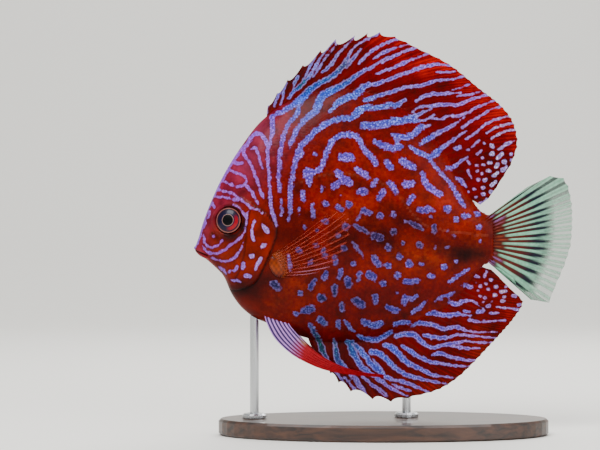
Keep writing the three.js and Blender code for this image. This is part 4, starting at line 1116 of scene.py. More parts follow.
def two_faced(name, flat, mid, half, *facts):
    """A sheet of places (x, z) with its middle at y = mid and half a thickness on either side."""
    faces = [np.stack([flat[:, :, 0], y, flat[:, :, 1]], axis=2).reshape(-1, 3) for y in (mid - half, mid + half)]
    piece = add_mesh(name, np.vstack(faces), sheet_faces(*flat.shape[:2]))
    return piece, [np.tile(fact.reshape(-1), 2) for fact in facts]


def ribs(phase, t, wide, branched):
    """How high a ray stands, 0 to 1, at a phase between two rays and a reach t outwards."""
    off = np.minimum(phase, 1 - phase)
    split = np.clip((t - BRANCH_FROM) / BRANCH_OVER, 0, 1) if branched else 0
    return hump(off, wide) * (1 - split) + hump(off - BRANCH_OFF, BRANCH_WIDTH) * split


def fin_sheet(name, rays, root, tip, notch, bow, rows, ray_half, side, branched=True, sheath=1.0,
              sheath_reach=0.07, web=WEB_HALF, rib_wide=0.16):
    """A ribbed fin. Returns the object and, for each of its points, share along the root, t outwards and rib."""
    rays = np.array(rays)
    number = np.append(np.repeat(np.arange(len(rays) - 1), SUB), len(rays) - 2)
    phase = np.append(np.tile(np.arange(SUB) / SUB, len(rays) - 1), 0.0)
    before, after = rays[number], rays[number + 1]
    shares = np.append((before + (after - before) * phase)[:-1], rays[-1])
    straight = tip(before) * (1 - phase[:, None]) + tip(after) * phase[:, None]
    deep = notch(shares) * np.sin(np.pi * phase) ** 0.8
    start = root(shares)
    end = straight + (start - straight) * deep[:, None]
    t = np.linspace(0, 1, rows)[None, :, None]
    course = (end - start)[:, None, :]
    sideways = np.stack([-course[:, :, 1], course[:, :, 0]], axis=2)
    flat = start[:, None, :] + course * t + sideways * 4 * bow * t * (1 - t)
    t = np.broadcast_to(t[:, :, 0], flat.shape[:2])
    rib = ribs(np.broadcast_to(phase[:, None], t.shape), t, rib_wide, branched)
    wide = ray_half(shares)[:, None] * (1 - 0.6 * t)
    segment = 1 - JOINT_DEPTH * (np.cos(2 * np.pi * JOINTS * t) > 0.6) * (t > 0.2)
    half = web + np.maximum(wide - web, 0) * rib * segment + sheath * hump(t, sheath_reach) * (0.4 + 0.6 * rib)
    half *= np.clip((1 - t) / 0.02, 0.35, 1)
    return two_faced(name, flat, side(shares[:, None], t), half, np.broadcast_to(shares[:, None], t.shape), t, rib)


print("a sheet of 3 by 4 points has", len(sheet_faces(3, 4)), "faces")

# %% [markdown]
# ## Paint on the fins
# A fin carries the same strokes as the body, a hair finer, and its web is darker in the valleys
# between the rays. Long marks run out in a fine point, as the colour does between two rays.

# %% Paint the fins
FIN_MARK_PATCHES = MARK_PATCHES + [
    (345, 66, 13, 18, "#1C7452", 1), (325, 80, 12, 8, "#2090A4", 0.7), (302, 84, 12, 10, "#247C60", 0.9),
    (335, 48, 30, 20, "#8C96A8", 0.8), (410, 60, 50, 26, "#9A90DC", 0.8), (470, 108, 34, 30, "#B58AD2", 0.9),
    (505, 128, 14, 16, "#D8D0B0", 0.9), (495, 172, 16, 44, "#D8FFDC", 1), (476, 172, 10, 34, "#D49CB4", 0.9),
    (500, 296, 22, 22, "#D0D8A8", 0.9), (482, 292, 9, 24, "#DDA6B0", 0.8), (480, 340, 26, 40, "#C08CCC", 0.8),
    (390, 390, 40, 10, "#9C84DC", 0.8), (468, 312, 26, 8, "#6C84DC", 0.9),
]
FIN_GAIN = (0.64, 0.2, 0.2)
FIN_GROUND = "#6C0404"
FIN_GROUND_PATCHES = [
    (440, 64, 60, 13, "#D20602", 0.95), (480, 90, 26, 18, "#D20402", 0.9), (395, 40, 40, 10, "#D20A02", 0.9),
    (500, 110, 22, 26, "#CC0802", 0.9), (514, 134, 10, 20, "#C81A04", 0.8), (490, 165, 18, 30, "#610404", 0.7),
    (340, 60, 50, 30, "#630405", 0.8), (335, 48, 50, 14, "#840A06", 0.5), (300, 80, 30, 24, "#530608", 0.8),
    (400, 100, 60, 26, "#630404", 0.8), (430, 386, 60, 12, "#8E2A0C", 0.9), (480, 345, 18, 30, "#8B300E", 0.9),
    (510, 310, 16, 24, "#8E2008", 0.9), (380, 392, 50, 8, "#7E2010", 0.7), (340, 352, 40, 26, "#460508", 0.8),
    (430, 330, 50, 26, "#630505", 0.7), (490, 205, 14, 8, "#792A10", 0.6),
]
FIN_MARK_WIDTH = 0.96
VALLEY_SHADE = 0.45
LONG_STROKE = 5
DRAWN_ON = 0.8
POINT_WIDTH = 0.75


def drawn_out(stroke):
    """A long mark on a fin runs out in a fine point, on along its own course."""
    if len(stroke) < LONG_STROKE:
        return stroke
    (x0, y0, _), (x1, y1, wide) = stroke[-2:]
    return stroke + [(x1 + (x1 - x0) * DRAWN_ON, y1 + (y1 - y0) * DRAWN_ON, POINT_WIDTH * wide)]


def map_fin(mesh, share, t):
    """A map for a fin: share and reach, one face beside the other."""
    far = np.arange(len(share)) >= len(share) // 2
    put_map(mesh, np.column_stack([0.02 + 0.94 * share, 0.02 + 0.46 * t + 0.5 * far]))


def paint_fin(piece, facts, strokes):
    mesh = piece.data
    share, t, rib = facts
    p = photo_places(places(mesh) * (1, 0, 1))
    strokes = [drawn_out(stroke) for stroke in strokes + FLANK_STRIPES]
    valley = 1 - VALLEY_SHADE * (1 - rib) * np.clip((t - 0.45) / 0.3, 0, 1)
    put_floats(mesh, "mark_edge", edge_distance(p, strokes, FIN_MARK_WIDTH))
    put_floats(mesh, "rib", rib)
    put_colours(mesh, "ground", airbrush(p, FIN_GROUND, FIN_GROUND_PATCHES, FIN_GAIN) * valley[:, None])
    put_colours(mesh, "mark", airbrush(p, MARK, FIN_MARK_PATCHES, MARK_GAIN))
    map_fin(mesh, share, t)


print("fin patches:", len(FIN_GROUND_PATCHES), "ground,", len(FIN_MARK_PATCHES), "marks")

# %% [markdown]
# ## Back fin and belly fin
# Both have a row of stiff spines in front, close together and notched, and soft branched rays
# behind. Each root is sunk into the body, and the web leans a little to and fro as in still water.

# %% Back fin and belly fin
BACK_SPINES = [0, 0.022, 0.045, 0.068, 0.095, 0.13, 0.168, 0.205, 0.24]
BACK_RAYS = BACK_SPINES + np.linspace(0.268, 1, 28).tolist()
BACK_TIPS = [
    (0, 31, 60.3), (0.045, 39.3, 71.3), (0.095, 53.5, 84), (0.13, 59.8, 88.7), (0.168, 67.9, 90.2),
    (0.24, 78.5, 91.7), (0.268, 85, 89.8), (0.32, 93.8, 85.3), (0.4, 107.4, 78.6), (0.53, 121, 67.8),
    (0.66, 130, 60.6), (0.75, 135.4, 53), (0.82, 137, 45), (0.88, 134.8, 37), (0.93, 129.6, 28.4),
    (0.97, 125, 21.6), (1, 120.4, 17.9),
]
BELLY_SPINES = [0, 0.03, 0.065, 0.1, 0.14, 0.18, 0.22, 0.26]
BELLY_RAYS = BELLY_SPINES + np.linspace(0.288, 1, 27).tolist()
BELLY_TIPS = [
    (0, 49.7, -42.4), (0.05, 53.9, -48.4), (0.12, 59, -55.2), (0.18, 66, -60.9), (0.22, 75.4, -64.2),
    (0.26, 83.2, -65.2), (0.3, 93.2, -62.9), (0.36, 102.7, -60.3), (0.43, 110.8, -55.5),
    (0.5, 118, -48.8), (0.58, 124.4, -42), (0.68, 130.6, -35.4), (0.78, 136, -29), (0.86, 139.3, -23),
    (0.93, 133.8, -17.2), (0.97, 129, -12.2), (1, 125.4, -8.8),
]
SPINE_HALF = 0.5
RAY_HALF = 0.26
back_fin, back_facts = fin_sheet(
    "back_fin", BACK_RAYS, back_root, tip_line(BACK_TIPS),
    notch=smooth_line([(0, 0.15), (0.2, 0.085), (0.26, 0.03), (0.3, 0.008), (1, 0.015)]), bow=0.05, rows=72,
    ray_half=smooth_line([(0, SPINE_HALF), (0.24, SPINE_HALF), (0.3, RAY_HALF), (1, RAY_HALF)]),
    side=lambda s, t: 1.6 * t * t * np.sin(np.pi * (s * 1.7 - 0.3)),
)
belly_fin, belly_facts = fin_sheet(
    "belly_fin", BELLY_RAYS, belly_root, tip_line(BELLY_TIPS),
    notch=smooth_line([(0, 0.12), (0.22, 0.075), (0.28, 0.03), (0.32, 0.008), (1, 0.015)]), bow=-0.05, rows=64,
    ray_half=smooth_line([(0, SPINE_HALF), (0.26, SPINE_HALF), (0.32, RAY_HALF), (1, RAY_HALF)]),
    side=lambda s, t: -1.5 * t * t * np.sin(np.pi * (s * 1.4 - 0.2)),
)
paint_fin(back_fin, back_facts, BACK_FIN_STROKES + BACK_FIN_DOTS)
paint_fin(belly_fin, belly_facts, BELLY_FIN_STROKES + BELLY_FIN_DOTS)
print("rays:", len(BACK_RAYS), "in the back fin,", len(BELLY_RAYS), "in the belly fin")

# %% [markdown]
# The two big fins share one material: the skin's, a touch glossier, with a firmer outline round the
# marks, darker in the valleys between the rays and brighter on them.

# %% Fin web material
def painted_fin(name):
    """Wet fin web: the skin's pattern, darker in the valleys between ribs and brighter on them."""
    material = painted_skin(name, speckle=0.9, roughness=0.4, outline=0.5)
    tree = material.node_tree
    shader = next(n for n in tree.nodes if n.type == "BSDF_PRINCIPLED")
    painted = shader.inputs["Base Color"].links[0].from_socket
    rib = add_node(tree, "ShaderNodeAttribute", {"attribute_name": "rib"})
    gain = add_node(tree, "ShaderNodeMapRange", Value=rib.outputs["Fac"], To_Min=0.86, To_Max=1.1)
    lit = add_node(tree, "ShaderNodeVectorMath", SCALE, _0=painted, Scale=gain.outputs[0])
    tree.links.new(lit.outputs[0], shader.inputs["Base Color"])
    return material


fin_material = painted_fin("ribbed fin web")
for piece, slot, node in ((back_fin, "back_fin", "dorsal_fin"), (belly_fin, "belly_fin", "anal_fin")):
    piece.data.materials.append(fin_material)
    keep(piece, slot, node)

# %% [markdown]
# ## Tail fin
# Seventeen rays fan out, and each splits into two branches. Along the rays it is pale mint, between
# them dark navy, and it fades towards a clear margin. Where it leaves the stalk it is red-brown, with
# a lilac touch at both corners. The root is sunk deep in the stalk, which hands over to the sheet.

# %% Tail fin
TAIL_SPACES = 16
TAIL_ROOT = [(124.4, 10.6), (125.6, 7.4), (125.9, 4), (125.6, 0.6), (124.4, -2.6)]
TAIL_TIPS = [
    (0, 141, 25.9), (0.07, 151.5, 30.7), (0.14, 157.2, 29.2), (0.22, 159, 24), (0.32, 160.1, 18.4),
    (0.46, 160.4, 11), (0.6, 160, 2.4), (0.72, 158, -5.4), (0.82, 155.2, -12.6),
    (0.9, 152.4, -19), (0.96, 149.6, -24.8), (1, 142, -22),
]
TAIL_SWING = 4.4
TAIL_SUNK = 4.0
tail_fin, tail_facts = fin_sheet(
    "tail_fin", np.linspace(0, 1, TAIL_SPACES + 1), along([(x - TAIL_SUNK, z) for x, z in TAIL_ROOT]),
    tip_line(TAIL_TIPS), notch=steady(0.01), bow=0.0, rows=90, ray_half=steady(0.55),
    side=lambda s, t: TAIL_SWING * t * (0.15 + s * s) - 1.2 * t * t * (1 - s), sheath=2.2, sheath_reach=0.2,
)
print("tail fin has", TAIL_SPACES + 1, "rays and", len(tail_fin.data.vertices), "points")

# %% [markdown]
# The tail's colours could be drawn as strokes too, but they repeat from ray to ray. So they are sums
# of where a point is between its two rays and how far out it lies, with sines of the ray's number
# to make every space a little different.

# %% Paint the tail
TAIL_HIDDEN = 0.11
MINT, CREAM, NAVY, BROWN, CLEAR, SHEATH, LILAC, STREAK_ROOT = (
    np.array(linear(c))
    for c in ("#74AC90", "#9CC4AC", "#060A1C", "#5E1206", "#48785E", "#8A3A20", "#7A5C9C", "#4A0E06")
)


def ramp(value, start, over):
    """Rises from 0 to 1 over a length, from a start."""
    return np.clip((value - start) / over, 0, 1)


def blend(a, b, share):
    """Paint b over a. Where a is a single colour it covers every point."""
    a = np.tile(a, (len(share), 1)) if np.ndim(a) == 1 else a
    return a * (1 - share[:, None]) + b * share[:, None]


def lay_paint(piece, facts, colour, solid):
    """Stores a clear fin's own colour, how solid it is, and its map."""
    put_colours(piece.data, "paint", colour)
    put_floats(piece.data, "solid", np.clip(solid, 0, 1))
    map_fin(piece.data, *facts[:2])


def paint_tail(piece, facts):
    share, t, rib = facts
    t = ramp(t, TAIL_HIDDEN, 1 - TAIL_HIDDEN)
    phase = (share * TAIL_SPACES) % 1
    off = np.minimum(phase, 1 - phase)
    # Mint lies along each ray, from a start and with a width that change from ray to ray.
    number = np.round(share * TAIL_SPACES)
    start = 0.13 + 0.05 * np.sin(number * 2.4) + 0.05 * np.sin(number * 5.1)
    mint = np.clip(1 - (off - 0.2 + 0.05 * np.sin(number * 3.7)) / 0.05, 0, 1)
    colour = blend(STREAK_ROOT, NAVY, ramp(t, 0.38, 0.2))
    colour = blend(colour, MINT, mint * ramp(t, start, 0.05))
    # Navy streaks cross two thirds out, strongest in the lower half, and the margin fades to clear.
    streak = hump(t - 0.66 - 0.05 * np.sin(number * 1.9), 0.1) * (0.25 + 0.75 * hump(share - 0.6, 0.28))
    colour = blend(colour, NAVY, streak * np.clip(off / 0.06, 0.25, 1) * 0.85)
    fade = ramp(t, 0.66, 0.14) * (1 - 0.7 * hump(share - 0.1, 0.16))
    thin = np.clip(rib * 1.3 - 0.15, 0, 1)
    colour = blend(colour, CLEAR, fade * 0.9)
    colour = blend(colour, CREAM, thin * ramp(t, 0.55, 0.2) * 0.75)
    # The sheath of body skin at its root is brown, with orange rays and lilac ones at both corners.
    base = blend(BROWN, SHEATH, 0.9 * mint * ramp(t, 0.02, 0.05))
    corners = hump(share - 0.1, 0.13) + hump(share - 0.93, 0.09)
    base = blend(base, LILAC, corners * mint * ramp(t, 0.03, 0.03))
    colour = blend(base, colour, ramp(t, start - 0.07, 0.09))
    lay_paint(piece, facts, colour, 0.98 - fade * (0.78 - 0.5 * thin))


paint_tail(tail_fin, tail_facts)
print("tail web is from", round(float(tail_fin.data.attributes["solid"].data[0].value), 2), "solid at its root")

# %% [markdown]
# A clear web could be glass with real refraction. It is far thinner than it is drawn here, so it
# bends no light that shows, and plain see-through where the web is thin looks more like it.

# %% Clear web material
GRAIN_SCALE = 900.0


def clear_fin(name, roughness):
    """Clear wet web with coloured rays and a grain of 1 mm: see-through where the web is thin."""
    material, tree, shader = new_material(name, Roughness=roughness, IOR=1.36, Specular_IOR_Level=0.3)
    paint = add_node(tree, "ShaderNodeAttribute", {"attribute_name": "paint"})
    solid = add_node(tree, "ShaderNodeAttribute", {"attribute_name": "solid"})
    where = add_node(tree, "ShaderNodeTexCoord").outputs["Object"]
    grain = add_node(tree, "ShaderNodeTexNoise", Vector=where, Scale=GRAIN_SCALE, Detail=3.0)
    shade = add_node(tree, "ShaderNodeMapRange", Value=grain.outputs["Fac"], From_Min=0.3, From_Max=0.7,
                     To_Min=0.8, To_Max=1.15)
    lit = add_node(tree, "ShaderNodeVectorMath", SCALE, _0=paint.outputs["Color"], Scale=shade.outputs[0])
    tree.links.new(lit.outputs[0], shader.inputs["Base Color"])
    tree.links.new(solid.outputs["Fac"], shader.inputs["Alpha"])
    return material


tail_fin.data.materials.append(clear_fin("clear tail web", 0.3))
keep(tail_fin, "tail_fin", "caudal_fin")

# %% [markdown]
# ## Breast fins
# Each is a clear fan of reddish rays on a fleshy orange heel, held a little away from the flank. The
# fan stays just outside the flank at its root, and swings out by a share of each ray's length. The
# right one is a mirrored copy with its faces turned round again.

# %% Breast fins
BREAST_ROOT = [(32.6, -2.6), (34.6, -5), (36, -8.6), (36.8, -12.2)]
BREAST_TIPS = [
    (0, 56, 14.6), (0.1, 60.6, 15.6), (0.22, 64.5, 14), (0.36, 65.6, 9.6), (0.5, 64.6, 4.4),
    (0.64, 62.2, -1), (0.78, 58.4, -6.4), (0.9, 52.4, -9.8), (1, 46, -11.2),
]
BREAST_RAYS = 12
BREAST_SPREAD = 0.42
BREAST_SUNK = 2.0
BREAST_CLEARANCE = 0.25
WEB_RED, RAY_RED, PALE_RAY, HEEL_BROWN = (np.array(linear(c)) for c in ("#8A2414", "#962A1A", "#C08CB4", "#8A3208"))
breast_root = along(BREAST_ROOT)
breast_tip = tip_line(BREAST_TIPS)


def breast_side(share, t):
    start = breast_root(share)
    length = np.linalg.norm(breast_tip(share) - start, axis=-1)
    out = flank(start[..., 0], start[..., 1])
    return -np.maximum(out + BREAST_CLEARANCE, out - BREAST_SUNK + BREAST_SPREAD * t * length)


def paint_breast(piece, facts):
    share, t, rib = facts
    colour = blend(WEB_RED, RAY_RED, np.clip(rib * 1.4 - 0.2, 0, 1))
    low = hump(share - 0.86, 0.1) * ramp(t, 0.25, 0.2)
    colour = blend(colour, PALE_RAY, low * 0.8 * rib)
    colour = blend(HEEL_BROWN, colour, ramp(t, 0.12, 0.12))
    fleshy = np.clip((0.14 - t) / 0.12, 0, 1)
    lay_paint(piece, facts, colour, 0.03 + (0.85 - 0.35 * t) * rib + 0.7 * fleshy)


def mirrored(piece, name):
    """A copy of a finished left piece for the right side."""
    mesh = piece.data.copy()
    mesh.name = name
    mesh.transform(Matrix.Scale(-1, 4, (0, 1, 0)))
    mesh.flip_normals()
    return put_in_scene(name, mesh)


breast_fin, breast_facts = fin_sheet(
    "breast_fin_left", np.linspace(0, 1, BREAST_RAYS), breast_root, breast_tip, notch=steady(0.03), bow=-0.03,
    rows=60, ray_half=steady(0.34), side=breast_side, branched=False, sheath=0.25, web=0.06, rib_wide=0.1,
)
paint_breast(breast_fin, breast_facts)
breast_material = clear_fin("clear breast web", 0.3)
breast_fin.data.materials.append(breast_material)
keep(breast_fin, "breast_fin", "pectoral_fin_left")
keep(mirrored(breast_fin, "breast_fin_right"), "breast_fin", "pectoral_fin_right")

# %% [markdown]
# The heel is the fleshy knob that the fan grows from. An egg, half sunk in the flank, flecked
# orange and dark like the skin round it, and darkened with painted shade towards its ends and where it
# sinks into the flank, is all it takes.

# %% Heels of the breast fins
HEEL_AT = (34.7, -7.6)
HEEL_RADII = (2.7, 1.1, 4.7)
HEEL_TURN = -0.42
HEEL_SEGMENTS = 48
HEEL_RINGS = 32


def egg(name, centre, radii, turn):
    """A closed egg, turned about y."""
    a = np.linspace(0, 2 * np.pi, HEEL_SEGMENTS, endpoint=False)
    b = np.linspace(0, np.pi, HEEL_RINGS + 2)[1:-1]
    high = np.repeat(np.cos(b)[:, None], HEEL_SEGMENTS, 1)
    ring = np.stack([np.outer(np.sin(b), np.cos(a)), np.outer(np.sin(b), np.sin(a)), high], axis=2).reshape(-1, 3)
    points = np.vstack([ring, (0, 0, 1), (0, 0, -1)]) * radii
    points = points @ np.array(Matrix.Rotation(turn, 3, "Y")).T + centre
    return add_mesh(name, points, tube_faces(HEEL_RINGS, HEEL_SEGMENTS))


heel_y = -float(flank(*HEEL_AT))
heel = egg("breast_heel_left", (HEEL_AT[0], heel_y, HEEL_AT[1]), HEEL_RADII, HEEL_TURN)
x, y, z = places(heel.data).T
# painted shade: the egg darkens towards its ends (up) and where it sinks into the flank (rim); the fleck is its own
# mottle
up = (z - HEEL_AT[1]) / HEEL_RADII[2]
rim = 1 - np.clip((heel_y - y) / HEEL_RADII[1], 0, 1)
fleck = 1 + 0.4 * np.sin(z * 2.3) * np.sin(x * 3.1 + 0.8)
heel_colour_and_shade = blend(linear("#742A04"), np.array(linear("#4A0A04")), np.clip(up**2 + rim**2, 0, 1))
put_colours(heel.data, "paint", fleck[:, None] * heel_colour_and_shade)
put_floats(heel.data, "solid", np.ones(len(x)))
heel.data.materials.append(breast_material)
keep(heel, "breast_fin", "pectoral_fin_left")
keep(mirrored(heel, "breast_heel_right"), "breast_fin", "pectoral_fin_right")

# %% [markdown]
# ## Pelvic fins
# They hang side by side under the belly: lilac in front, with the second ray drawn out behind into a
# long scarlet thread. Both edges are curves, and the rays run between them.

# %% Pelvic fins
PELVIC_FRONT = [
    (29.4, -27.6), (30.4, -31.4), (33.6, -37.6), (39.6, -43.6), (46.4, -47.8), (55.2, -51.4), (66, -53.4),
    (79.8, -54.6),
]
PELVIC_REAR = [
    (38.6, -29), (40.6, -33), (45.4, -38.4), (49.4, -42.2), (55.4, -46.4), (62.4, -49.8), (70.4, -52.2),
    (80, -53.4),
]
PELVIC_RAYS = 6
PELVIC_ROWS = 150
PELVIC_SIDE = 3.3
PELVIC_SPREAD = 2.6
PELVIC_LILAC, PELVIC_NAVY, SCARLET, LEAF = (np.array(linear(c)) for c in ("#B07CC8", "#1C1640", "#8C0212", "#7AB468"))


def pelvic_fin(name):
    front, rear = spline(PELVIC_FRONT, PELVIC_ROWS), spline(PELVIC_REAR, PELVIC_ROWS)
    across = np.linspace(0, 1, PELVIC_RAYS * SUB + 1)[:, None]
    flat = front[None] * (1 - across[:, None]) + rear[None] * across[:, None]
    t = np.broadcast_to(np.linspace(0, 1, PELVIC_ROWS)[None, :], flat.shape[:2])
    share = np.broadcast_to(across, t.shape)
    rib = 0.5 + 0.5 * np.cos(2 * np.pi * PELVIC_RAYS * share)
    half = (0.12 + 0.4 * rib) * (1 - 0.5 * t) + 0.06 * t
    mid = -(PELVIC_SIDE + PELVIC_SPREAD * np.sin(np.pi * np.minimum(t, 0.8)))
    return two_faced(name, flat, mid, half, share, t, rib)


def paint_pelvic(piece, facts):
    share, t, rib = facts
    colour = blend(PELVIC_NAVY, PELVIC_LILAC, np.clip(rib * 1.5 - 0.3, 0, 1))
    colour = blend(colour, LEAF, hump(share - 0.95, 0.1) * hump(t - 0.4, 0.08))
    colour = blend(colour, SCARLET, ramp(t, 0.42 - 0.18 * share, 0.14))
    lay_paint(piece, facts, colour, np.ones(len(t)))


pelvic, pelvic_facts = pelvic_fin("scarlet_fin_left")
paint_pelvic(pelvic, pelvic_facts)
pelvic.data.materials.append(clear_fin("scarlet pelvic ray", 0.35))
keep(pelvic, "pelvic_fin", "pelvic_fin_left")
keep(mirrored(pelvic, "scarlet_fin_right"), "pelvic_fin", "pelvic_fin_right")

# %% [markdown]
# ## Eyes
# A domed front on a short barrel, turned a little forward. Each point of it stores how far it is from
# the eye's axis and how far round towards the crimson side, and the material draws rings from that.

# %% Eyeball
EYE_AIM = Vector((-0.24, -1, 0.1)).normalized()
EYE_DOME = 1.75
EYE_BACK = -3.6
EYE_SEAT = -0.6
EYE_SEGMENTS = 96
EYE_RINGS = 40
BLUSH_AT = 2.9


def eyeball(name):
    rise = np.linspace(0, np.pi / 2, EYE_RINGS)[:-1]
    r = np.concatenate([[EYE_RADIUS * 0.9], EYE_RADIUS * np.cos(rise)])
    h = np.concatenate([[EYE_BACK], EYE_SEAT + (EYE_DOME - EYE_SEAT) * np.sin(rise)])
    a = np.linspace(0, 2 * np.pi, EYE_SEGMENTS, endpoint=False)
    deep = np.repeat(h[:, None], EYE_SEGMENTS, 1)
    ring = np.stack([np.outer(r, np.cos(a)), deep, np.outer(r, np.sin(a))], axis=2)
    points = np.vstack([ring.reshape(-1, 3), (0, EYE_BACK, 0), (0, EYE_DOME, 0)])
    turn = Vector((0, 1, 0)).rotation_difference(EYE_AIM).to_matrix()
    centre = (EYE[0], -float(flank(*EYE)), EYE[1])
    piece = add_mesh(name, points @ np.array(turn).T + centre, tube_faces(len(r), EYE_SEGMENTS))
    x, y, z = points.T
    put_floats(piece.data, "out", np.where(y > EYE_SEAT - 0.2, np.hypot(x, z), EYE_RADIUS))
    put_floats(piece.data, "blush", 0.5 + 0.5 * np.cos(np.arctan2(z, x) - BLUSH_AT))
    put_map(piece.data, 0.5 + 0.45 * points[:, [0, 2]] / EYE_RADIUS)
    return piece


eye = eyeball("eye_ball_left")
print("eye is", 2 * EYE_RADIUS, "mm wide")

# %% [markdown]
# The black pupil, the thin pale ring round it, the dark iris and the orange-brown outer ring lie at
# measured shares of the radius, and the rear side of the iris is crimson. A thin clear coat gives the
# wet highlight.

# %% Eye material
RING_COLOURS = [
    (0.0, "#010102"), (0.4, "#010102"), (0.425, "#86665E"), (0.44, "#86665E"), (0.465, "#0A0628"), (0.86, "#12061C"),
    (0.885, "#86483E"), (0.92, "#965A50"), (0.945, "#200608"), (1.0, "#100406"),
]
CRIMSON = (*linear("#860014"), 1)


def eye_material():
    """A wet eye: black pupil, thin pale ring, dark iris with a crimson side, orange-brown outer ring."""
    material, tree, shader = new_material(
        "wet eye", Roughness=0.3, Specular_IOR_Level=0.12, Coat_Weight=0.12, Coat_Roughness=0.05
    )
    out = add_node(tree, "ShaderNodeAttribute", {"attribute_name": "out"})
    blush = add_node(tree, "ShaderNodeAttribute", {"attribute_name": "blush"})
    scaled = add_node(tree, "ShaderNodeMath", {"operation": "DIVIDE"}, _0=out.outputs["Fac"], _1=EYE_RADIUS)
    outwards = scaled.outputs[0]
    rings = add_node(tree, "ShaderNodeValToRGB", Fac=outwards)
    stops = rings.color_ramp.elements
    while len(stops) < len(RING_COLOURS):
        stops.new(0.5)
    for stop, (place, colour) in zip(stops, RING_COLOURS):
        stop.position = place
        stop.color = (*linear(colour), 1)
    iris = add_node(tree, "ShaderNodeMapRange", SOFT_STEP, Value=outwards, From_Min=0.5, From_Max=0.56)
    inner = add_node(tree, "ShaderNodeMapRange", SOFT_STEP, Value=outwards, From_Min=0.8, From_Max=0.76)
    side = add_node(tree, "ShaderNodeMapRange", SOFT_STEP, Value=blush.outputs["Fac"], From_Min=0.62, From_Max=0.95)
    both = add_node(tree, "ShaderNodeMath", MULTIPLY, _0=iris.outputs[0], _1=inner.outputs[0])
    share = add_node(tree, "ShaderNodeMath", MULTIPLY, _0=both.outputs[0], _1=side.outputs[0])
    colour = add_node(tree, "ShaderNodeMix", MIX_COLOUR, _0=share.outputs[0], _6=rings.outputs["Color"], _7=CRIMSON)
    tree.links.new(colour.outputs[2], shader.inputs["Base Color"])
    return material


eye.data.materials.append(eye_material())
keep(eye, "eye", "eye_left")
keep(mirrored(eye, "eye_ball_right"), "eye", "eye_right")

# %% [markdown]
# ## Stand
# The CAD's base and rods already have the right shape, so they stay, and only get their finishes. The
# base is dark stained walnut under a satin varnish: long grain, a hair of relief. The rods are
# polished steel, with a faint brushing along their length that softens the glint.

# %% Stand
# Patterns per metre along and across: a grain line every 2 mm, a brush mark every 1 mm.
WOOD_STRETCH = (12.0, 120.0, 120.0)
BRUSH_STRETCH = (900.0, 900.0, 20.0)
WOOD_COLOURS = ((0.35, "#1E110B"), (0.68, "#4A2C1C"))


def stained_wood():
    """Satin dark walnut: long grain along the base, with a soft varnish."""
    material, tree, shader = new_material("dark stained wood", Roughness=0.38, Coat_Weight=0.25)
    where = add_node(tree, "ShaderNodeTexCoord").outputs["Object"]
    long = add_node(tree, "ShaderNodeMapping", Vector=where, Scale=WOOD_STRETCH)
    grain = add_node(tree, "ShaderNodeTexNoise", Vector=long.outputs[0], Scale=4.0, Detail=8.0, Distortion=0.6)
    rings = add_node(tree, "ShaderNodeValToRGB", Fac=grain.outputs["Fac"])
    for stop, (place, colour) in zip(rings.color_ramp.elements, WOOD_COLOURS):
        stop.position = place
        stop.color = (*linear(colour), 1)
    bump_node = add_node(tree, "ShaderNodeBump", Strength=0.15, Distance=0.0002, Height=grain.outputs["Fac"])
    tree.links.new(rings.outputs["Color"], shader.inputs["Base Color"])
    tree.links.new(bump_node.outputs[0], shader.inputs["Normal"])
    return material


def steel():
    """Polished steel rod with a faint lengthwise brushing."""
    material, tree, shader = new_material("polished steel", Base_Color=(*linear("#C4C6C8"), 1), Metallic=1.0)
    where = add_node(tree, "ShaderNodeTexCoord").outputs["Object"]
    long = add_node(tree, "ShaderNodeMapping", Vector=where, Scale=BRUSH_STRETCH)
    brush = add_node(tree, "ShaderNodeTexNoise", Vector=long.outputs[0], Scale=1.0, Detail=3.0)
    rough = add_node(tree, "ShaderNodeMapRange", Value=brush.outputs["Fac"], To_Min=0.2, To_Max=0.36)
    tree.links.new(rough.outputs[0], shader.inputs["Roughness"])
    return material


wood = stained_wood()
rod_steel = steel()
for node, material in (("stand_base", wood), ("stand_rod_front", rod_steel), ("stand_rod_rear", rod_steel)):
    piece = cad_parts[node]
    piece.data.materials.clear()
    piece.data.materials.append(material)
    print(node, "keeps its CAD shape")

# %% [markdown]
# ## Floor, lights and sky
# A plain pale floor and backdrop in one sweep, a large soft light high in front on the left, a weaker
# one on the right, one behind for the fins' edges, one on the backdrop, and an even grey sky.

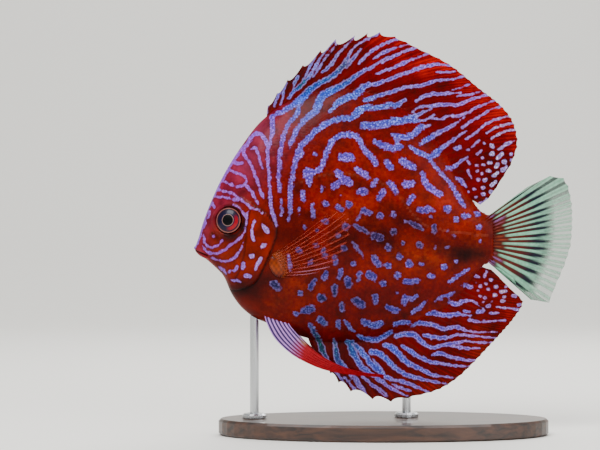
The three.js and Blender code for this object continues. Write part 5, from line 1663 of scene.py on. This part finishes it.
# %% Floor
SWEEP_WIDE = 4.0
SWEEP_FRONT = -3.0
SWEEP_BACK = 0.9
SWEEP_RADIUS = 0.9
SWEEP_TOP = 3.0
SWEEP_STEPS = 33
bend = [
    (SWEEP_BACK + SWEEP_RADIUS * math.sin(a), SWEEP_RADIUS * (1 - math.cos(a)))
    for a in np.linspace(0, math.pi / 2, SWEEP_STEPS)
]
profile = [(SWEEP_FRONT, 0.0), *bend, (SWEEP_BACK + SWEEP_RADIUS, SWEEP_TOP)]
sweep = bpy.data.meshes.new("floor")
sweep.from_pydata(
    [(side * SWEEP_WIDE, y, z) for y, z in profile for side in (-1, 1)], [],
    [(2 * i, 2 * i + 1, 2 * i + 3, 2 * i + 2) for i in range(len(profile) - 1)],
)
sweep.polygons.foreach_set("use_smooth", [True] * len(sweep.polygons))
floor = put_in_scene("floor", sweep)
floor_paint, _, _ = new_material("pale floor", Base_Color=(*linear("#E4E2DC"), 1), Roughness=0.8)
floor.data.materials.append(floor_paint)
print("floor sweeps up", SWEEP_BACK, "m behind the fish")

# %% Lights and sky
MIDDLE_OF_FISH = (0, 0, 0.09)


def light(name, place, aim, size, power):
    data = bpy.data.lights.new(name, "AREA")
    data.size = size
    data.energy = power
    lamp = put_in_scene(name, data)
    lamp.location = place
    lamp.rotation_euler = (Vector(aim) - Vector(place)).to_track_quat("-Z", "Y").to_euler()


light("key", (-0.3, -0.6, 0.85), MIDDLE_OF_FISH, size=0.5, power=13)
light("fill", (0.65, -0.7, 0.35), MIDDLE_OF_FISH, size=0.6, power=4)
light("rim", (0.2, 0.5, 0.6), MIDDLE_OF_FISH, size=0.5, power=4)
light("backdrop", (0.0, 0.5, 1.9), (0.0, 1.7, 0.3), size=1.6, power=40)
world = bpy.data.worlds.new("studio sky")
world.use_nodes = True
sky = world.node_tree.nodes["Background"]
sky.inputs["Color"].default_value = (*linear("#E6E8EA"), 1)
sky.inputs["Strength"].default_value = 0.5
bpy.context.scene.world = world
print("lights:", len(bpy.data.lights))
